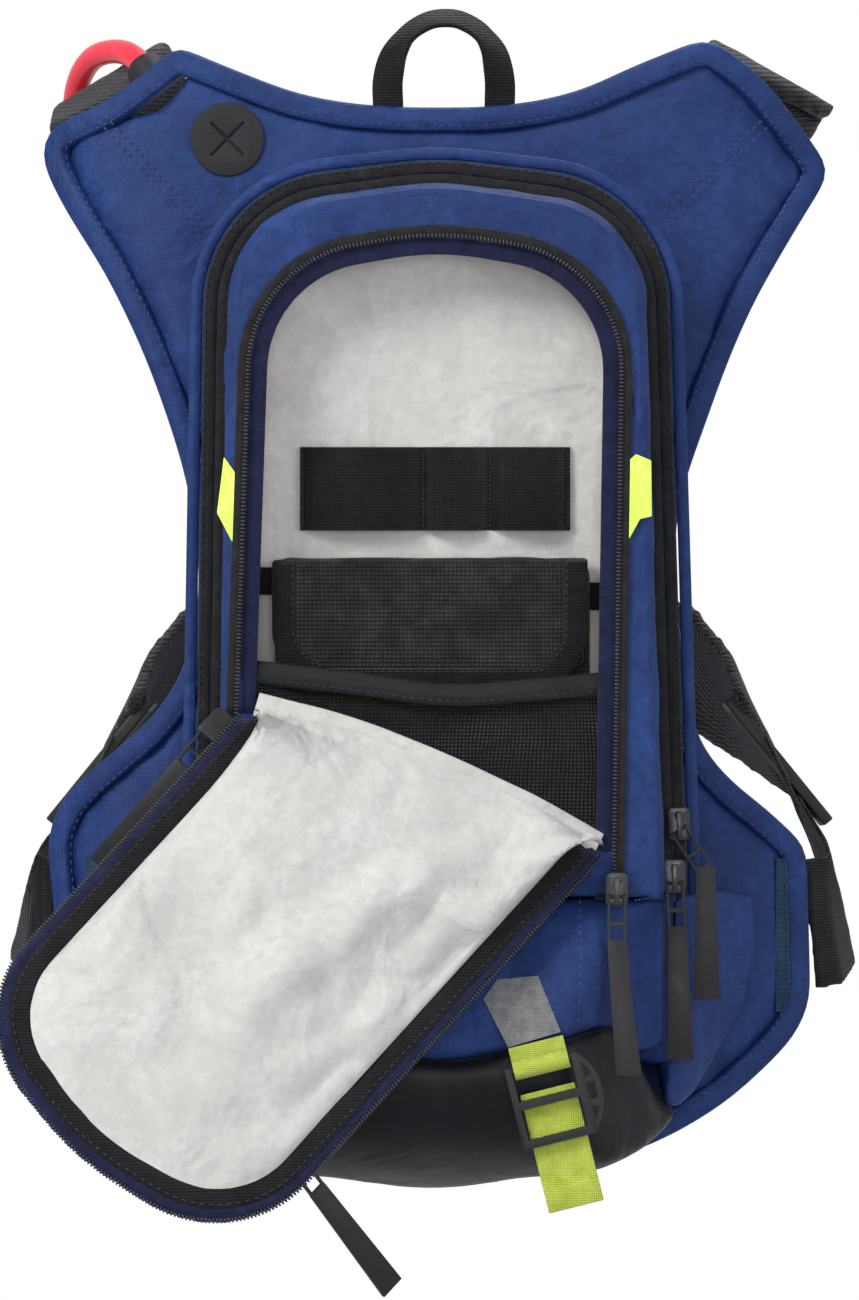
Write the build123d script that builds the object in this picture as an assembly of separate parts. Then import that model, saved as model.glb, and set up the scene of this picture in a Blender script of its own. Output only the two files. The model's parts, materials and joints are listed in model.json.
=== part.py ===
from build123d import *

import math
import os

# A hydration pack: a padded yoke worn on the back, a water reservoir inside a
# zipped main bag, a tool pocket in front of it with its flap hanging open, and
# a two-sided harness that closes with a clasp on the chest.
# Millimetres. +Z is up, the pack's front faces -Y and the wearer is at +Y.
# The origin is the middle of the flat face that rests on the wearer's back.
# "Depth" is the distance in front of that face, so depth = -Y.

# ---- driving dimensions ----
BACK_FOAM = 6.0  # thickness of the padding against the back
YOKE_FRONT = 10.0  # depth of the yoke's outer fabric
WRAP_START = 80.0  # half width of the flat middle of the yoke
WRAP_RADIUS = 100.0  # the yoke bends round the body with this radius
BINDING_WIDTH = 6.5
BAG_FRONT = 46.0  # depth of the main bag's front wall
POCKET_FRONT = 72.0  # depth of the pocket's flat front face
WALL = 2.0  # fabric and its foam, as one wall
MAIN_ZIP_HALF = 4.0  # half width of the main zip's tape
LINING_DEPTH = 50.0  # depth of the pocket's back wall
SIDE_SEAM_Z = -107.0  # height of the seam across the lower sides
FLAP_THICKNESS = 2.4
FLAP_AXIS_DEPTH = 74.8
FLAP_TILT = 26.0  # how far the open flap hangs out from upright, in degrees
FOLD_LEFT = (-70.0, -38.0)
FOLD_RIGHT = (60.0, -88.5)
HARNESS_AXIS_TOP = (123.0, 50.0, 193.0)
HARNESS_AXIS_LOW = (137.0, 50.0, -83.0)
HOSE_DIAMETER = 9.0
WEB = 20.0  # width of the narrow webbing
CLEAR = 0.3  # gap between parts of different bodies

os.makedirs("parts", exist_ok=True)


def save(name, shape):
    export_step(shape, f"parts/{name}.step")


def at_depth(face, back, front):
    """A face drawn in X and Z, made solid from one depth to another."""
    return extrude(Plane.XZ.offset(back) * face, amount=front - back)


def shape_of(*edges):
    """A face inside edges that meet end to end."""
    return make_face(Curve() + list(edges))


def polygon(points):
    return make_face(Polyline(*points, close=True))


def drawn_in(chains, distance):
    """The chains of points round an outline, moved inwards by a distance."""
    loop = [Vector(*point) for chain in chains for point in chain[:-1]]
    moved = []
    for i, here in enumerate(loop):
        arriving = (here - loop[i - 1]).normalized()
        leaving = (loop[(i + 1) % len(loop)] - here).normalized()
        turned = arriving + leaving
        inward = Vector(turned.Y, -turned.X).normalized()
        moved.append(here + inward * distance * 2 / turned.length)
    starts = [0]
    for chain in chains:
        starts.append(starts[-1] + len(chain) - 1)
    moved.append(moved[0])
    return [moved[start:end + 1] for start, end in zip(starts, starts[1:])]


def curved(chains):
    """A face inside chains of points, each chain drawn as one smooth curve."""
    return shape_of(*[Line(*chain) if len(chain) == 2 else Spline(*chain) for chain in chains])


def rectangle(left, right, low, high):
    return Pos((left + right) / 2, (low + high) / 2) * Rectangle(right - left, high - low)


def block(x, y, z):
    """A box from (low, high) along each axis."""
    centre = [(low + high) / 2 for low, high in (x, y, z)]
    return Pos(*centre) * Box(x[1] - x[0], y[1] - y[0], z[1] - z[0])


def wrap_slab(back, front):
    """The space between two depths of the yoke, flat in the middle and bent back at the sides."""
    section = rectangle(-WRAP_START, WRAP_START, -front, -back)
    for side in (-1, 1):
        ring = Circle(WRAP_RADIUS + front) - Circle(WRAP_RADIUS + back)
        window = Pos(side * (WRAP_START + 60), -10) * Rectangle(120, 160)
        section += (Pos(side * WRAP_START, WRAP_RADIUS) * ring) & window
    return extrude(section, amount=300, both=True)


def wrapped(face, back, front):
    """A face made solid between two depths of the bent yoke."""
    return at_depth(face, -70, 60) & wrap_slab(back, front)


def band(points, normals, widths, thickness):
    """A flat strap through points, its outer face towards the normals."""
    sections = []
    for i, point in enumerate(points):
        before = Vector(*points[max(i - 1, 0)])
        after = Vector(*points[min(i + 1, len(points) - 1)])
        along = (after - before).normalized()
        across = along.cross(Vector(*normals[i])).normalized()
        plane = Plane(origin=point, x_dir=across, z_dir=along)
        sections.append(plane * Rectangle(widths[i], thickness))
    return loft(sections, ruled=True)


def mirror_x(shape):
    return mirror(shape, about=Plane.YZ)


# ---- outlines, as X and Z ----
NECK = [
    (-96, 202), (-70.6, 191.5), (-50.8, 184.5), (-25, 180.4), (0, 179.6), (25, 180.6),
    (50.8, 185.8), (70.6, 194.4), (98, 205.5),
]
RIGHT_CAP = [(98, 205.5), (116, 192), (132.5, 172), (143, 157.5)]
RIGHT_SIDE = [
    (143, 157.5), (124.6, 127), (113, 105.5), (96.1, 61.9), (88.2, 36.4), (85.7, 11.9),
    (88.6, -17.6), (95, -52.2), (105.1, -66.2), (119.9, -78.8), (134.6, -92.9),
]
BOTTOM = [
    (135.7, -148), (131.8, -158.4), (117.7, -174.2), (97.2, -190.4), (65.2, -205.6),
    (39.6, -211), (-3.6, -217.1), (-40, -212), (-67, -206), (-99, -191), (-120, -175),
    (-135, -159), (-139, -149),
]
LEFT_SIDE = [
    (-144, -90), (-138.6, -76), (-123.8, -61), (-109.1, -48.2), (-99, -36), (-91, -17),
    (-88.2, 11.9), (-90.4, 31.7), (-98.3, 63), (-118.8, 113.4), (-138.6, 146.9), (-145, 160),
]
LEFT_CAP = [(-145, 160), (-144.5, 170), (-124, 181), (-96, 202)]


YOKE = [
    NECK, RIGHT_CAP, RIGHT_SIDE, [RIGHT_SIDE[-1], BOTTOM[0]], BOTTOM, [BOTTOM[-1], LEFT_SIDE[0]],
    LEFT_SIDE, LEFT_CAP,
]


def arch(left_x, right_x, low, corner, crown, radius):
    """A bag panel's outline: two straight sides, rounded corners and a low crown."""
    path = FilletPolyline(
        (left_x[0], low), (left_x[1], corner), (sum((left_x[1], right_x[1])) / 2, crown),
        (right_x[1], corner), (right_x[0], low),
        radius=[radius, 2.4 * radius, radius],
    )
    return shape_of(path, Line((right_x[0], low), (left_x[0], low)))


def main_arch(grow, low=SIDE_SEAM_Z):
    """The main zip's line, grown outwards or, below zero, inwards."""
    left, right = (-84.5 - grow, -80 - grow), (85 + grow, 77 + grow)
    return arch(left, right, low, 145 + grow, 155 + grow, 44 + grow)


def pocket_arch(grow, low=SIDE_SEAM_Z + 1):
    """The pocket zip's line, grown outwards or, below zero, inwards."""
    left, right = (-73.5 - grow, -68 - grow), (62.8 + grow, 66.2 + grow)
    return arch(left, right, low, 122 + grow, 133 + grow, 46 + grow)


# ---- the fold that the pocket's flap hinges on ----
FOLD_DIRECTION = Vector(FOLD_RIGHT[0] - FOLD_LEFT[0], 0, FOLD_RIGHT[1] - FOLD_LEFT[1]).normalized()
FOLD_MIDDLE = Vector(
    (FOLD_LEFT[0] + FOLD_RIGHT[0]) / 2, -FLAP_AXIS_DEPTH, (FOLD_LEFT[1] + FOLD_RIGHT[1]) / 2
)
FOLD_AXIS = Axis(FOLD_MIDDLE, -FOLD_DIRECTION)
FLAP_CLOSING = 180 - FLAP_TILT


def above_fold(gap):
    """Everything in the X-Z plane that lies above the fold by a gap or more."""
    up = Vector(-FOLD_DIRECTION.Z, FOLD_DIRECTION.X)
    start = Vector(FOLD_MIDDLE.X, FOLD_MIDDLE.Z) + up * gap
    along = Vector(FOLD_DIRECTION.X, FOLD_DIRECTION.Z)
    low_left, low_right = start - along * 200, start + along * 200
    corners = [low_left, low_right, low_right + up * 400, low_left + up * 400]
    return polygon([(c.X, c.Y) for c in corners])


def opened(shape):
    """A piece of the flap, drawn closed, turned down to hang open."""
    return shape.rotate(FOLD_AXIS, -FLAP_CLOSING)


LOWER_PROFILE = [(72, -108), (84, -124), (92.5, -145), (95, -166), (87, -191), (60, -209), (12, -217)]


# ---- the lower body: it bulges forward and tapers to the sides and bottom ----
def lower_body(grow=0.0):
    profile = shape_of(
        Line((10, -99), (72 + grow, -99)),
        Line((72 + grow, -99), (72 + grow, -108)),
        Spline(*[(depth + grow, z) for depth, z in LOWER_PROFILE]),
        Line((LOWER_PROFILE[-1][0] + grow, LOWER_PROFILE[-1][1]), (10, -99)),
    )
    side_view = extrude(Plane(origin=(0, 0, 0), x_dir=(0, -1, 0), z_dir=(-1, 0, 0)) * profile,
                        amount=150, both=True)
    plan = polygon([
        (-118, -YOKE_FRONT), (118, -YOKE_FRONT), (118, -12), (84.5, -BAG_FRONT), (44, -98 - grow),
        (-44, -98 - grow), (-84.5, -BAG_FRONT), (-118, -12),
    ])
    return side_view & extrude(plan, amount=250, both=True)


BOTTOM_TOP_EDGE = [
    (-87, -187), (-80.3, -184.3), (-73.1, -170.3), (-61.2, -152.3), (-46.8, -155.2), (-7, -163),
    (7, -163), (46.8, -155.2), (61.2, -152.3), (73.1, -170.3), (80.3, -184.3), (87, -187),
]


def bottom_region():
    low = Spline((87, -187), (65, -202.5), (38, -208), (-3, -213.5), (-40, -209), (-66, -203), (-87, -187))
    return shape_of(Polyline(*BOTTOM_TOP_EDGE), low)


# ---- the yoke: padding, outer panel and the tape bound round their edge ----
inner_face = curved(drawn_in(YOKE, BINDING_WIDTH))
yoke_panel = wrapped(inner_face, BACK_FOAM, YOKE_FRONT)
edge_binding = wrapped(curved(YOKE) - inner_face, BACK_FOAM - 1.5, YOKE_FRONT + 0.8)
save("back_panel", wrapped(inner_face, 0, BACK_FOAM))

# ---- the lower body, cut into its panels ----
body = lower_body()
bottom_solid = at_depth(bottom_region(), YOKE_FRONT, 100) & body
core_outline = [(x * 0.94, z * 1.02) for x, z in BOTTOM_TOP_EDGE[1:-1]]
bottom_core = at_depth(polygon(core_outline), YOKE_FRONT + 3, 55)
bottom_core = bottom_core & body & block((-80, 80), (-55, 0), (-188, -150))
save("bottom_panel", bottom_solid - bottom_core)

SIDE_POCKET = [(84.5, -107), (117.5, -107), (119, -122), (113, -150), (88, -186), (80, -184), (84.5, -140)]
side_pocket = at_depth(polygon(SIDE_POCKET), YOKE_FRONT, BAG_FRONT) & body
side_pocket = side_pocket - wrap_slab(0, YOKE_FRONT) - bottom_solid
save("side_pocket_right", side_pocket)
save("side_pocket_left", mirror_x(side_pocket))

# ---- the main bag: a closed shell that holds the reservoir ----
bag_face = main_arch(MAIN_ZIP_HALF, low=-170)
bag_hollow = main_arch(MAIN_ZIP_HALF - WALL, low=-150)
main_bag = at_depth(bag_face, YOKE_FRONT, BAG_FRONT) - bottom_solid - side_pocket - mirror_x(side_pocket)
main_bag = main_bag - at_depth(bag_hollow, YOKE_FRONT + WALL, BAG_FRONT - WALL)
save("main_bag", main_bag)

RESERVOIR_SECTIONS = [(-146, 40, 6), (-134, 62, 20), (-60, 66, 26), (20, 64, 24), (84, 60, 18), (116, 56, 5)]
reservoir = loft([
    Plane(origin=(0, -28, z), z_dir=(0, 0, 1)) * Ellipse(half, thick / 2)
    for z, half, thick in RESERVOIR_SECTIONS
])
save("reservoir", reservoir)
slide_bar = block((-60, 60), (-32, -24), (118, 128)) - block((-57, 57), (-29.5, -26.5), (117, 124))
save("reservoir_slide", fillet(slide_bar.edges().filter_by(Axis.X).group_by(Axis.Z)[-1], 1.5))

# ---- the pocket in front of the main bag ----
pocket_body = at_depth(main_arch(-MAIN_ZIP_HALF), BAG_FRONT, POCKET_FRONT - 5)
pocket_body += at_depth(main_arch(-MAIN_ZIP_HALF - 3), POCKET_FRONT - 5, POCKET_FRONT)
lower_front = at_depth(rectangle(-84, 84, -165, SIDE_SEAM_Z), BAG_FRONT, 100) & body
lower_front = lower_front - bottom_solid
cavity_face = pocket_arch(-5, low=-104)
mouth_face = pocket_arch(-2.5, low=-104) & above_fold(0)
pocket_hollow = at_depth(cavity_face, LINING_DEPTH - 1, POCKET_FRONT - WALL)
pocket_hollow += at_depth(mouth_face, LINING_DEPTH, POCKET_FRONT + 1)
save("front_pocket", pocket_body + lower_front - pocket_hollow)
save("pocket_lining", at_depth(cavity_face, LINING_DEPTH - 1, LINING_DEPTH))

# ---- the two zip tracks on the pack ----
main_track = main_arch(MAIN_ZIP_HALF) - main_arch(-MAIN_ZIP_HALF)
save("main_zip_track", at_depth(main_track, BAG_FRONT, BAG_FRONT + 1.4))
pocket_track = pocket_arch(1.5) - pocket_arch(-2.5, low=-110)
pocket_track = pocket_track - rectangle(-57, 62, -110, -60)
pocket_track = pocket_track - rectangle(-90, -50, -110, -36)
save("pocket_zip_track", at_depth(pocket_track, POCKET_FRONT, POCKET_FRONT + 1.2))

# ---- tool loops, tool pouch and mesh pocket, inside the pocket ----
LOOP_SEAMS = [(-51, -49), (-7.5, -4.5), (16.5, 19.5), (45, 47)]
LOOP_LOW, LOOP_HIGH = 25.2, 55.4
loop_line = Polyline(
    *[
        point
        for seam, following in zip(LOOP_SEAMS[:-1], LOOP_SEAMS[1:])
        for point in (
            (seam[0], -LINING_DEPTH), (seam[1], -LINING_DEPTH),
            (seam[1] + 2, -LINING_DEPTH - 5.5), (following[0] - 2, -LINING_DEPTH - 5.5),
        )
    ],
    (LOOP_SEAMS[-1][0], -LINING_DEPTH), (LOOP_SEAMS[-1][1], -LINING_DEPTH),
    (LOOP_SEAMS[-1][1], -LINING_DEPTH - 1.6), (LOOP_SEAMS[-1][0] + 0.6, -LINING_DEPTH - 1.6),
    *[
        point
        for seam, following in reversed(list(zip(LOOP_SEAMS[:-1], LOOP_SEAMS[1:])))
        for point in (
            (following[0] - 1, -LINING_DEPTH - 7.1), (seam[1] + 1, -LINING_DEPTH - 7.1),
            (seam[1] - 0.6, -LINING_DEPTH - 1.6), (seam[0] + 0.6, -LINING_DEPTH - 1.6),
        )
    ],
    close=True,
)
tool_loops = Pos(0, 0, LOOP_LOW) * extrude(make_face(loop_line), amount=LOOP_HIGH - LOOP_LOW)
save("tool_loops", tool_loops)

POUCH_BACK, POUCH_FRONT = 52.0, 61.0
POUCH_TOP, POUCH_LOW = 13.5, -34.0
pouch_body = block((-56, 54), (-POUCH_FRONT, -POUCH_BACK), (POUCH_LOW, POUCH_TOP))
pouch_body = fillet(pouch_body.edges().filter_by(Axis.Y), 4)
pouch_body = pouch_body - block((-54.4, 52.4), (-POUCH_FRONT + 1.5, -POUCH_BACK - 1.5), (POUCH_LOW + 2, 20))
save("pouch_body", pouch_body)
POUCH_FLAP = [(-60, 15.5), (-60, -22), (-46, -31.5), (40, -31.5), (52.6, -22), (52.6, 15.5)]
pouch_flap = at_depth(polygon(POUCH_FLAP), POUCH_FRONT + CLEAR, POUCH_FRONT + 2.3)
pouch_flap += block((-56, 54), (-POUCH_FRONT - 2.3, -POUCH_BACK - 1), (POUCH_TOP + CLEAR, POUCH_TOP + 2))
save("pouch_flap", pouch_flap)
pouch_bands = [
    block((-65.5, -56), (-53.6, -52), (2, 12)),
    block((54, 61.5), (-53.6, -52), (-3.5, 6.5)),
]
save("pouch_bands", Compound(pouch_bands))

MESH_BACK = 67.3
MESH_HEM = [(-75, -20.5), (-68, -21.2), (5, -29.9), (62, -25.6), (75, -25)]
mesh_face = cavity_face & polygon([(-75, -100), *MESH_HEM, (75, -100)])
save("mesh_pocket", at_depth(mesh_face, MESH_BACK, MESH_BACK + 1.2))

# ---- sewn-on trim ----
NEON_LEFT = [(-77.4, 51.8), (-70.9, 42.8), (-73.1, 18.7), (-79.6, 31.7)]
NEON_RIGHT = [(66.6, 50), (70.2, 52.6), (71.6, 29.5), (66.2, 20.9)]
neon_left = at_depth(polygon(NEON_LEFT), POCKET_FRONT, POCKET_FRONT + 0.6)
neon_right = at_depth(polygon(NEON_RIGHT), POCKET_FRONT, POCKET_FRONT + 0.6)
neon_left = neon_left & block((-77, -73.5), (-80, -60), (0, 60))
neon_right = neon_right & block((67.4, 72), (-80, -60), (0, 60))
save("neon_patches", Compound([neon_left, neon_right]))
save("side_tag", wrapped(rectangle(86.4, 92.5, -35, -18), YOKE_FRONT + 1, YOKE_FRONT + 2))
strip = wrapped(rectangle(124.2, 131, -153, -96.5), YOKE_FRONT, YOKE_FRONT + 1)
save("wing_strips", Compound([strip - edge_binding, mirror_x(strip) - edge_binding]))

haul_points = [(-19, 181.5), (-18.4, 196), (-12, 208), (1.5, 213.5), (15, 208), (21.4, 196), (22, 181.5)]
haul_normals = [
    (0, -1, 0), (-0.4, -1, 0), (-0.6, -0.6, 0.7), (0, 0, 1), (0.6, -0.6, 0.7), (0.4, -1, 0), (0, -1, 0),
]
haul_loop = band([(x, -8, z) for x, z in haul_points], haul_normals, [12] * 7, 1.8)
save("haul_loop", haul_loop)

PORT_CENTRE = (-77.9, 168.3)
PORT_RADIUS = 13.5
port = Circle(PORT_RADIUS) - Rot(0, 0, 45) * Rectangle(17, 0.8) - Rot(0, 0, -45) * Rectangle(17, 0.8)
hose_port = at_depth(Pos(*PORT_CENTRE) * port, YOKE_FRONT, YOKE_FRONT + 2)
hose_port += at_depth(Pos(*PORT_CENTRE) * Circle(PORT_RADIUS), YOKE_FRONT, YOKE_FRONT + 0.8)
save("hose_port", hose_port)
raised = PORT_RADIUS + 1
yoke_panel = yoke_panel - at_depth(Pos(*PORT_CENTRE) * Circle(raised), YOKE_FRONT, YOKE_FRONT + 3)
save("yoke_panel", yoke_panel)
edge_binding = edge_binding - haul_loop - at_depth(bag_face, YOKE_FRONT, BAG_FRONT)
save("edge_binding", edge_binding)

# ---- the reflective tab and the strap that hangs from it ----
REFLECTIVE_TAB = [(20.2, -134.3), (34.9, -133), (43, -152.6), (24.2, -158.2), (15.3, -141.1)]
skin = lower_body(1.0) - lower_body(0.0)
save("reflective_tab", at_depth(polygon(REFLECTIVE_TAB), 70, 105) & skin)

LOCK_PIVOT = (35.8, -101.0, -163.8)
LOCK_TURN = -14.0  # the strap hangs a little to one side
LOCK_BAR = 1.6  # radius of the bar that the strap turns on
LOCK_LENGTH = 28.0
lock_frame = Pos(*LOCK_PIVOT) * Rot(0, LOCK_TURN, 0)


def along_x(radius, length):
    return Rot(0, 90, 0) * Cylinder(radius, length)


anchor = along_x(3.3, WEB) - along_x(LOCK_BAR + 0.35, WEB)
anchor += block((-WEB / 2, WEB / 2), (3.6, 5.0), (-3, 8)) + block((-WEB / 2, WEB / 2), (2.9, 3.8), (-2, 2))
save("anchor_loop", (lock_frame * anchor) - lower_body(1.0))

RAIL_IN, RAIL_OUT = WEB / 2 + 0.8, WEB / 2 + 3.2
rails = [
    block((side * 12 - 1.2, side * 12 + 1.2), (-LOCK_BAR, LOCK_BAR), (-LOCK_LENGTH, LOCK_BAR))
    for side in (-1, 1)
]
bars = [
    block((-12, 12), (-LOCK_BAR, LOCK_BAR), (z, z + 3)) for z in (-14, -LOCK_LENGTH)
]
wing = at_depth(
    shape_of(Spline((13, 1.5), (18.5, -8), (18.5, -18), (13, -28)), Line((13, -28), (13, 1.5)))
    - polygon([(14, -2), (16.4, -6.5), (14, -8)])
    - polygon([(14, -10), (17, -10), (17, -16), (14, -16)])
    - polygon([(14, -18), (16.4, -19.5), (14, -24)]),
    -1.2, 1.2,
)
lock = along_x(LOCK_BAR, 2 * RAIL_OUT) + rails + bars + wing
save("ladder_lock", lock_frame * lock)
lower_web = block((-WEB / 2, WEB / 2), (LOCK_BAR, LOCK_BAR + 1.5), (-46, -9))
lower_web += block((-WEB / 2, WEB / 2), (LOCK_BAR - 2.5, LOCK_BAR + 2.5), (-52, -44))
save("lower_web", lock_frame * lower_web)

# ---- the flap of the pocket: drawn closed, then turned down to hang open ----
def flap_outline(margin):
    """The flap's outline, drawn in by a margin from the zip's edge."""
    return pocket_arch(-2.2 - margin, low=-110) & above_fold(2.5 + margin)


flap_face = flap_outline(0) - polygon([(58.4, -92), (64.5, -55), (70, -92)])
tape_inner = flap_outline(4)
binding_inner = flap_outline(12)
FLAP_BACK = FLAP_AXIS_DEPTH - FLAP_THICKNESS / 2
FLAP_FRONT = FLAP_AXIS_DEPTH + FLAP_THICKNESS / 2
save("flap_panel", opened(at_depth(tape_inner, FLAP_AXIS_DEPTH, FLAP_FRONT)))
save("flap_lining", opened(at_depth(binding_inner, FLAP_BACK, FLAP_AXIS_DEPTH)))
save("flap_binding", opened(at_depth(tape_inner - binding_inner, FLAP_BACK, FLAP_AXIS_DEPTH)))
save("flap_zip_track", opened(at_depth(flap_face - tape_inner, FLAP_BACK + 0.2, FLAP_FRONT - 0.2)))
STASH_Z = 76.0
stash_track = at_depth(rectangle(-46, 55, STASH_Z - 3.5, STASH_Z + 3.5), FLAP_FRONT, FLAP_FRONT + 1)
save("stash_zip_track", opened(stash_track))

# ---- zip sliders and their pulls ----
SLIDER_HALF, SLIDER_LENGTH = 4.0, 12.0
SLIDER_BODY = 2.2  # thickness of the slider's body
PULL_PIVOT = 3.1  # height of the pull's bar above the slider's back
PULL_LINK, PULL_TAB = 17.0, 48.0


def slider():
    """A zip slider that lies on depth 0, its bridge to the front."""
    body = block((-SLIDER_HALF, SLIDER_HALF), (-SLIDER_BODY, 0), (-SLIDER_LENGTH / 2, SLIDER_LENGTH / 2))
    body = fillet(body.edges().filter_by(Axis.Y), 1.8)
    bridge = block((-1, 1), (-5.2, -4.1), (-5.2, 4.4))
    posts = [block((-1, 1), (-5.2, -2), (z, z + 1.2)) for z in (-5.2, 3.2)]
    return body + bridge + posts


def pull(lean=0.0, drift=0.0):
    """A link and a soft tab that hang from a bar at the origin. The link leans, the tab drifts."""
    arms = [block((x - 0.5, x + 0.5), (-0.7, 0.7), (-PULL_LINK, 0)) for x in (-2.9, 2.9)]
    joins = [block((-3.4, 3.4), (-0.7, 0.7), (z, z + 1.4)) for z in (-PULL_LINK, -10.5)]
    link = along_x(0.7, 6.8) + arms + joins
    link = link + along_x(0.7, 6.8)
    top = -PULL_LINK + 1.0
    low = top - PULL_TAB
    tab = at_depth(
        polygon([
            (-3.5, top), (3.5, top), (3.9 + drift * 0.4, (top + low) / 2), (4.8 + drift, low),
            (-4.6 + drift, low), (-3.9 + drift * 0.4, (top + low) / 2),
        ]),
        -0.8, 0.8,
    )
    turn = Rot(0, -lean, 0)
    hang = Pos(PULL_LINK * math.sin(math.radians(lean)), 0, PULL_LINK * (1 - math.cos(math.radians(lean))))
    return (turn * link) + (hang * tab)


def on_track(x, depth, z, turn):
    return Pos(x, -depth, z) * Rot(0, turn, 0)


MAIN_SLIDER_DEPTH = BAG_FRONT + 1.4 + CLEAR
POCKET_SLIDER_DEPTH = FLAP_FRONT + 0.4
PIVOT_DROP = 2.4  # the pull's bar sits this far below the slider's middle
SLIDERS = {
    "main_upper": (86.6, MAIN_SLIDER_DEPTH, -81.0, -3.0),
    "main_lower": (85.0, MAIN_SLIDER_DEPTH, -100.0, 0.0),
    "pocket_right": (63.2, POCKET_SLIDER_DEPTH, -103.0, 0.0),
}
for name, (x, depth, z, turn) in SLIDERS.items():
    save(f"{name}_slider", on_track(x, depth, z, turn) * slider())


def pivot_of(name):
    x, depth, z, _ = SLIDERS[name]
    return Vector(x, -depth - PULL_PIVOT, z - PIVOT_DROP)


def hung(name, swing, lean, drift):
    """A pull placed on its slider, swung forward by an angle."""
    return Pos(*pivot_of(name)) * Rot(-swing, 0, 0) * pull(lean, drift)


save("main_upper_pull", hung("main_upper", 0, 34, 0.5))
save("main_lower_pull", hung("main_lower", 2, 3, 1))
save("pocket_right_pull", hung("pocket_right", 8, 0, 4.0))

# Two sliders sit on the flap's outer side, which faces the bag while the flap hangs open.
# They and their pulls are drawn on the closed flap and turned down with it.
FLAP_SLIDERS = {
    "pocket_left": (-73.5, POCKET_SLIDER_DEPTH, -27.0, 180.0),
    "stash": (50.0, FLAP_FRONT + 1 + CLEAR, STASH_Z, -90.0),
}


def opened_point(location):
    return opened(location * Sphere(1)).center()


for name, (x, depth, z, turn) in FLAP_SLIDERS.items():
    place = on_track(x, depth, z, turn)
    save(f"{name}_slider", opened(place * slider()))
    pivot_place = place * Pos(0, -PULL_PIVOT, -PIVOT_DROP)
    pivot = opened_point(pivot_place)
    down = opened_point(pivot_place * Pos(0, 0, -1)) - pivot
    out = opened_point(pivot_place * Pos(0, -1, 0)) - pivot
    bar = opened_point(pivot_place * Pos(1, 0, 0)) - pivot
    swing = math.degrees(math.atan2(-out.Z, -down.Z))
    print(name, "pivot", pivot, "bar", bar, "down the track", down, "hangs at", round(swing, 1))
    save(f"{name}_pull", opened(pivot_place * Rot(-swing, 0, 0) * pull()))

# ---- harness: a shoulder strap and a side strap on each side, joined on the chest ----
STRAP_THICKNESS = 7.0
SHOULDER_RIGHT = [(120.6, -1, 183), (122.5, 20, 192), (123, 45, 193), (123, 48.5, 193)]
SHOULDER_LEFT = [(129, -1, 173), (126, 20, 181), (123, 45, 192.8), (123, 48.5, 193)]
SHOULDER_NORMALS = [(0.45, -0.62, 0.65), (0.48, -0.2, 0.86), (0.48, 0, 0.87), (0.48, 0, 0.87)]
CHEST_POINTS = [
    (123, 51.5, 193), (117, 80, 181), (104, 106, 149), (86, 126, 104), (69, 139, 58), (56, 147, 16),
    (52, 149, -14),
]
CHEST_NORMALS = [
    (0.48, 0, 0.87), (0.45, 0.35, 0.8), (0.36, 0.72, 0.6), (0.28, 0.88, 0.36), (0.2, 0.95, 0.22),
    (0.1, 0.99, 0.08), (0.05, 1, 0),
]
ELASTIC = 50.0  # width of the side elastic
ELASTIC_RIGHT = [(136.6, 5, -121), (145, 10, -120), (150, 21, -117), (146.5, 35, -105), (138, 48.5, -86)]
ELASTIC_LEFT = [(143, 10, -121), (151, 15, -120), (155.5, 25, -117), (150, 37, -105), (138, 48.5, -86)]
ELASTIC_NORMALS = [(0.45, -0.9, 0), (0.7, -0.7, 0.05), (1, -0.1, 0.2), (0.95, 0.1, 0.35), (0.85, 0.1, 0.5)]
SIDE_POINTS = [(136, 51.5, -82), (129, 66, -66)]
SIDE_NORMALS = [(0.84, 0.1, 0.53), (0.78, 0.15, 0.6)]
PANEL_POINTS = [(125.5, 74, -59), (114, 98, -44), (96, 122, -29), (78, 139, -17)]
PANEL_NORMALS = [(0.76, 0.18, 0.62), (0.68, 0.5, 0.55), (0.45, 0.8, 0.4), (0.25, 0.95, 0.2)]

shoulder_straps = {
    "right": band(SHOULDER_RIGHT, SHOULDER_NORMALS, [62, 54, 52, 52], STRAP_THICKNESS),
    "left": band(SHOULDER_LEFT, SHOULDER_NORMALS, [38, 46, 52, 52], STRAP_THICKNESS),
}
for side, strap in shoulder_straps.items():
    shoulder_straps[side] = strap - wrap_slab(-1, 40)
chest_strap = band(CHEST_POINTS, CHEST_NORMALS, [52, 52, 50, 48, 46, 44, 42], STRAP_THICKNESS)
side_elastics = {
    "right": band(ELASTIC_RIGHT, ELASTIC_NORMALS, [ELASTIC] * 5, 2.0),
    "left": band(ELASTIC_LEFT, ELASTIC_NORMALS, [ELASTIC] * 5, 2.0),
}
side_web = band(SIDE_POINTS, SIDE_NORMALS, [ELASTIC, ELASTIC], 2.0)
side_panel = band(PANEL_POINTS, PANEL_NORMALS, [58, 58, 52, 40], STRAP_THICKNESS - 1) - chest_strap
adjuster_plane = Plane(
    origin=(128, 69, -63.5), x_dir=Vector(0.63, 0, -0.776), z_dir=Vector(0.776, 0.12, 0.63)
)
adjuster_plate = Rectangle(60, 12) - Pos(0, 3) * Rectangle(52, 2.4) - Pos(0, -3) * Rectangle(52, 2.4)
adjuster = extrude(adjuster_plane * adjuster_plate, amount=2.2, both=True)
side_web = side_web - adjuster
side_panel = side_panel - adjuster
for side, place in (("right", lambda shape: shape), ("left", mirror_x)):
    save(f"shoulder_strap_{side}", place(shoulder_straps[side]))
    save(f"chest_strap_{side}", place(chest_strap))
    save(f"side_elastic_{side}", place(side_elastics[side]) - edge_binding)
    save(f"side_web_{side}", place(side_web))
    save(f"side_panel_{side}", place(side_panel))
    save(f"adjuster_{side}", place(adjuster))

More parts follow.
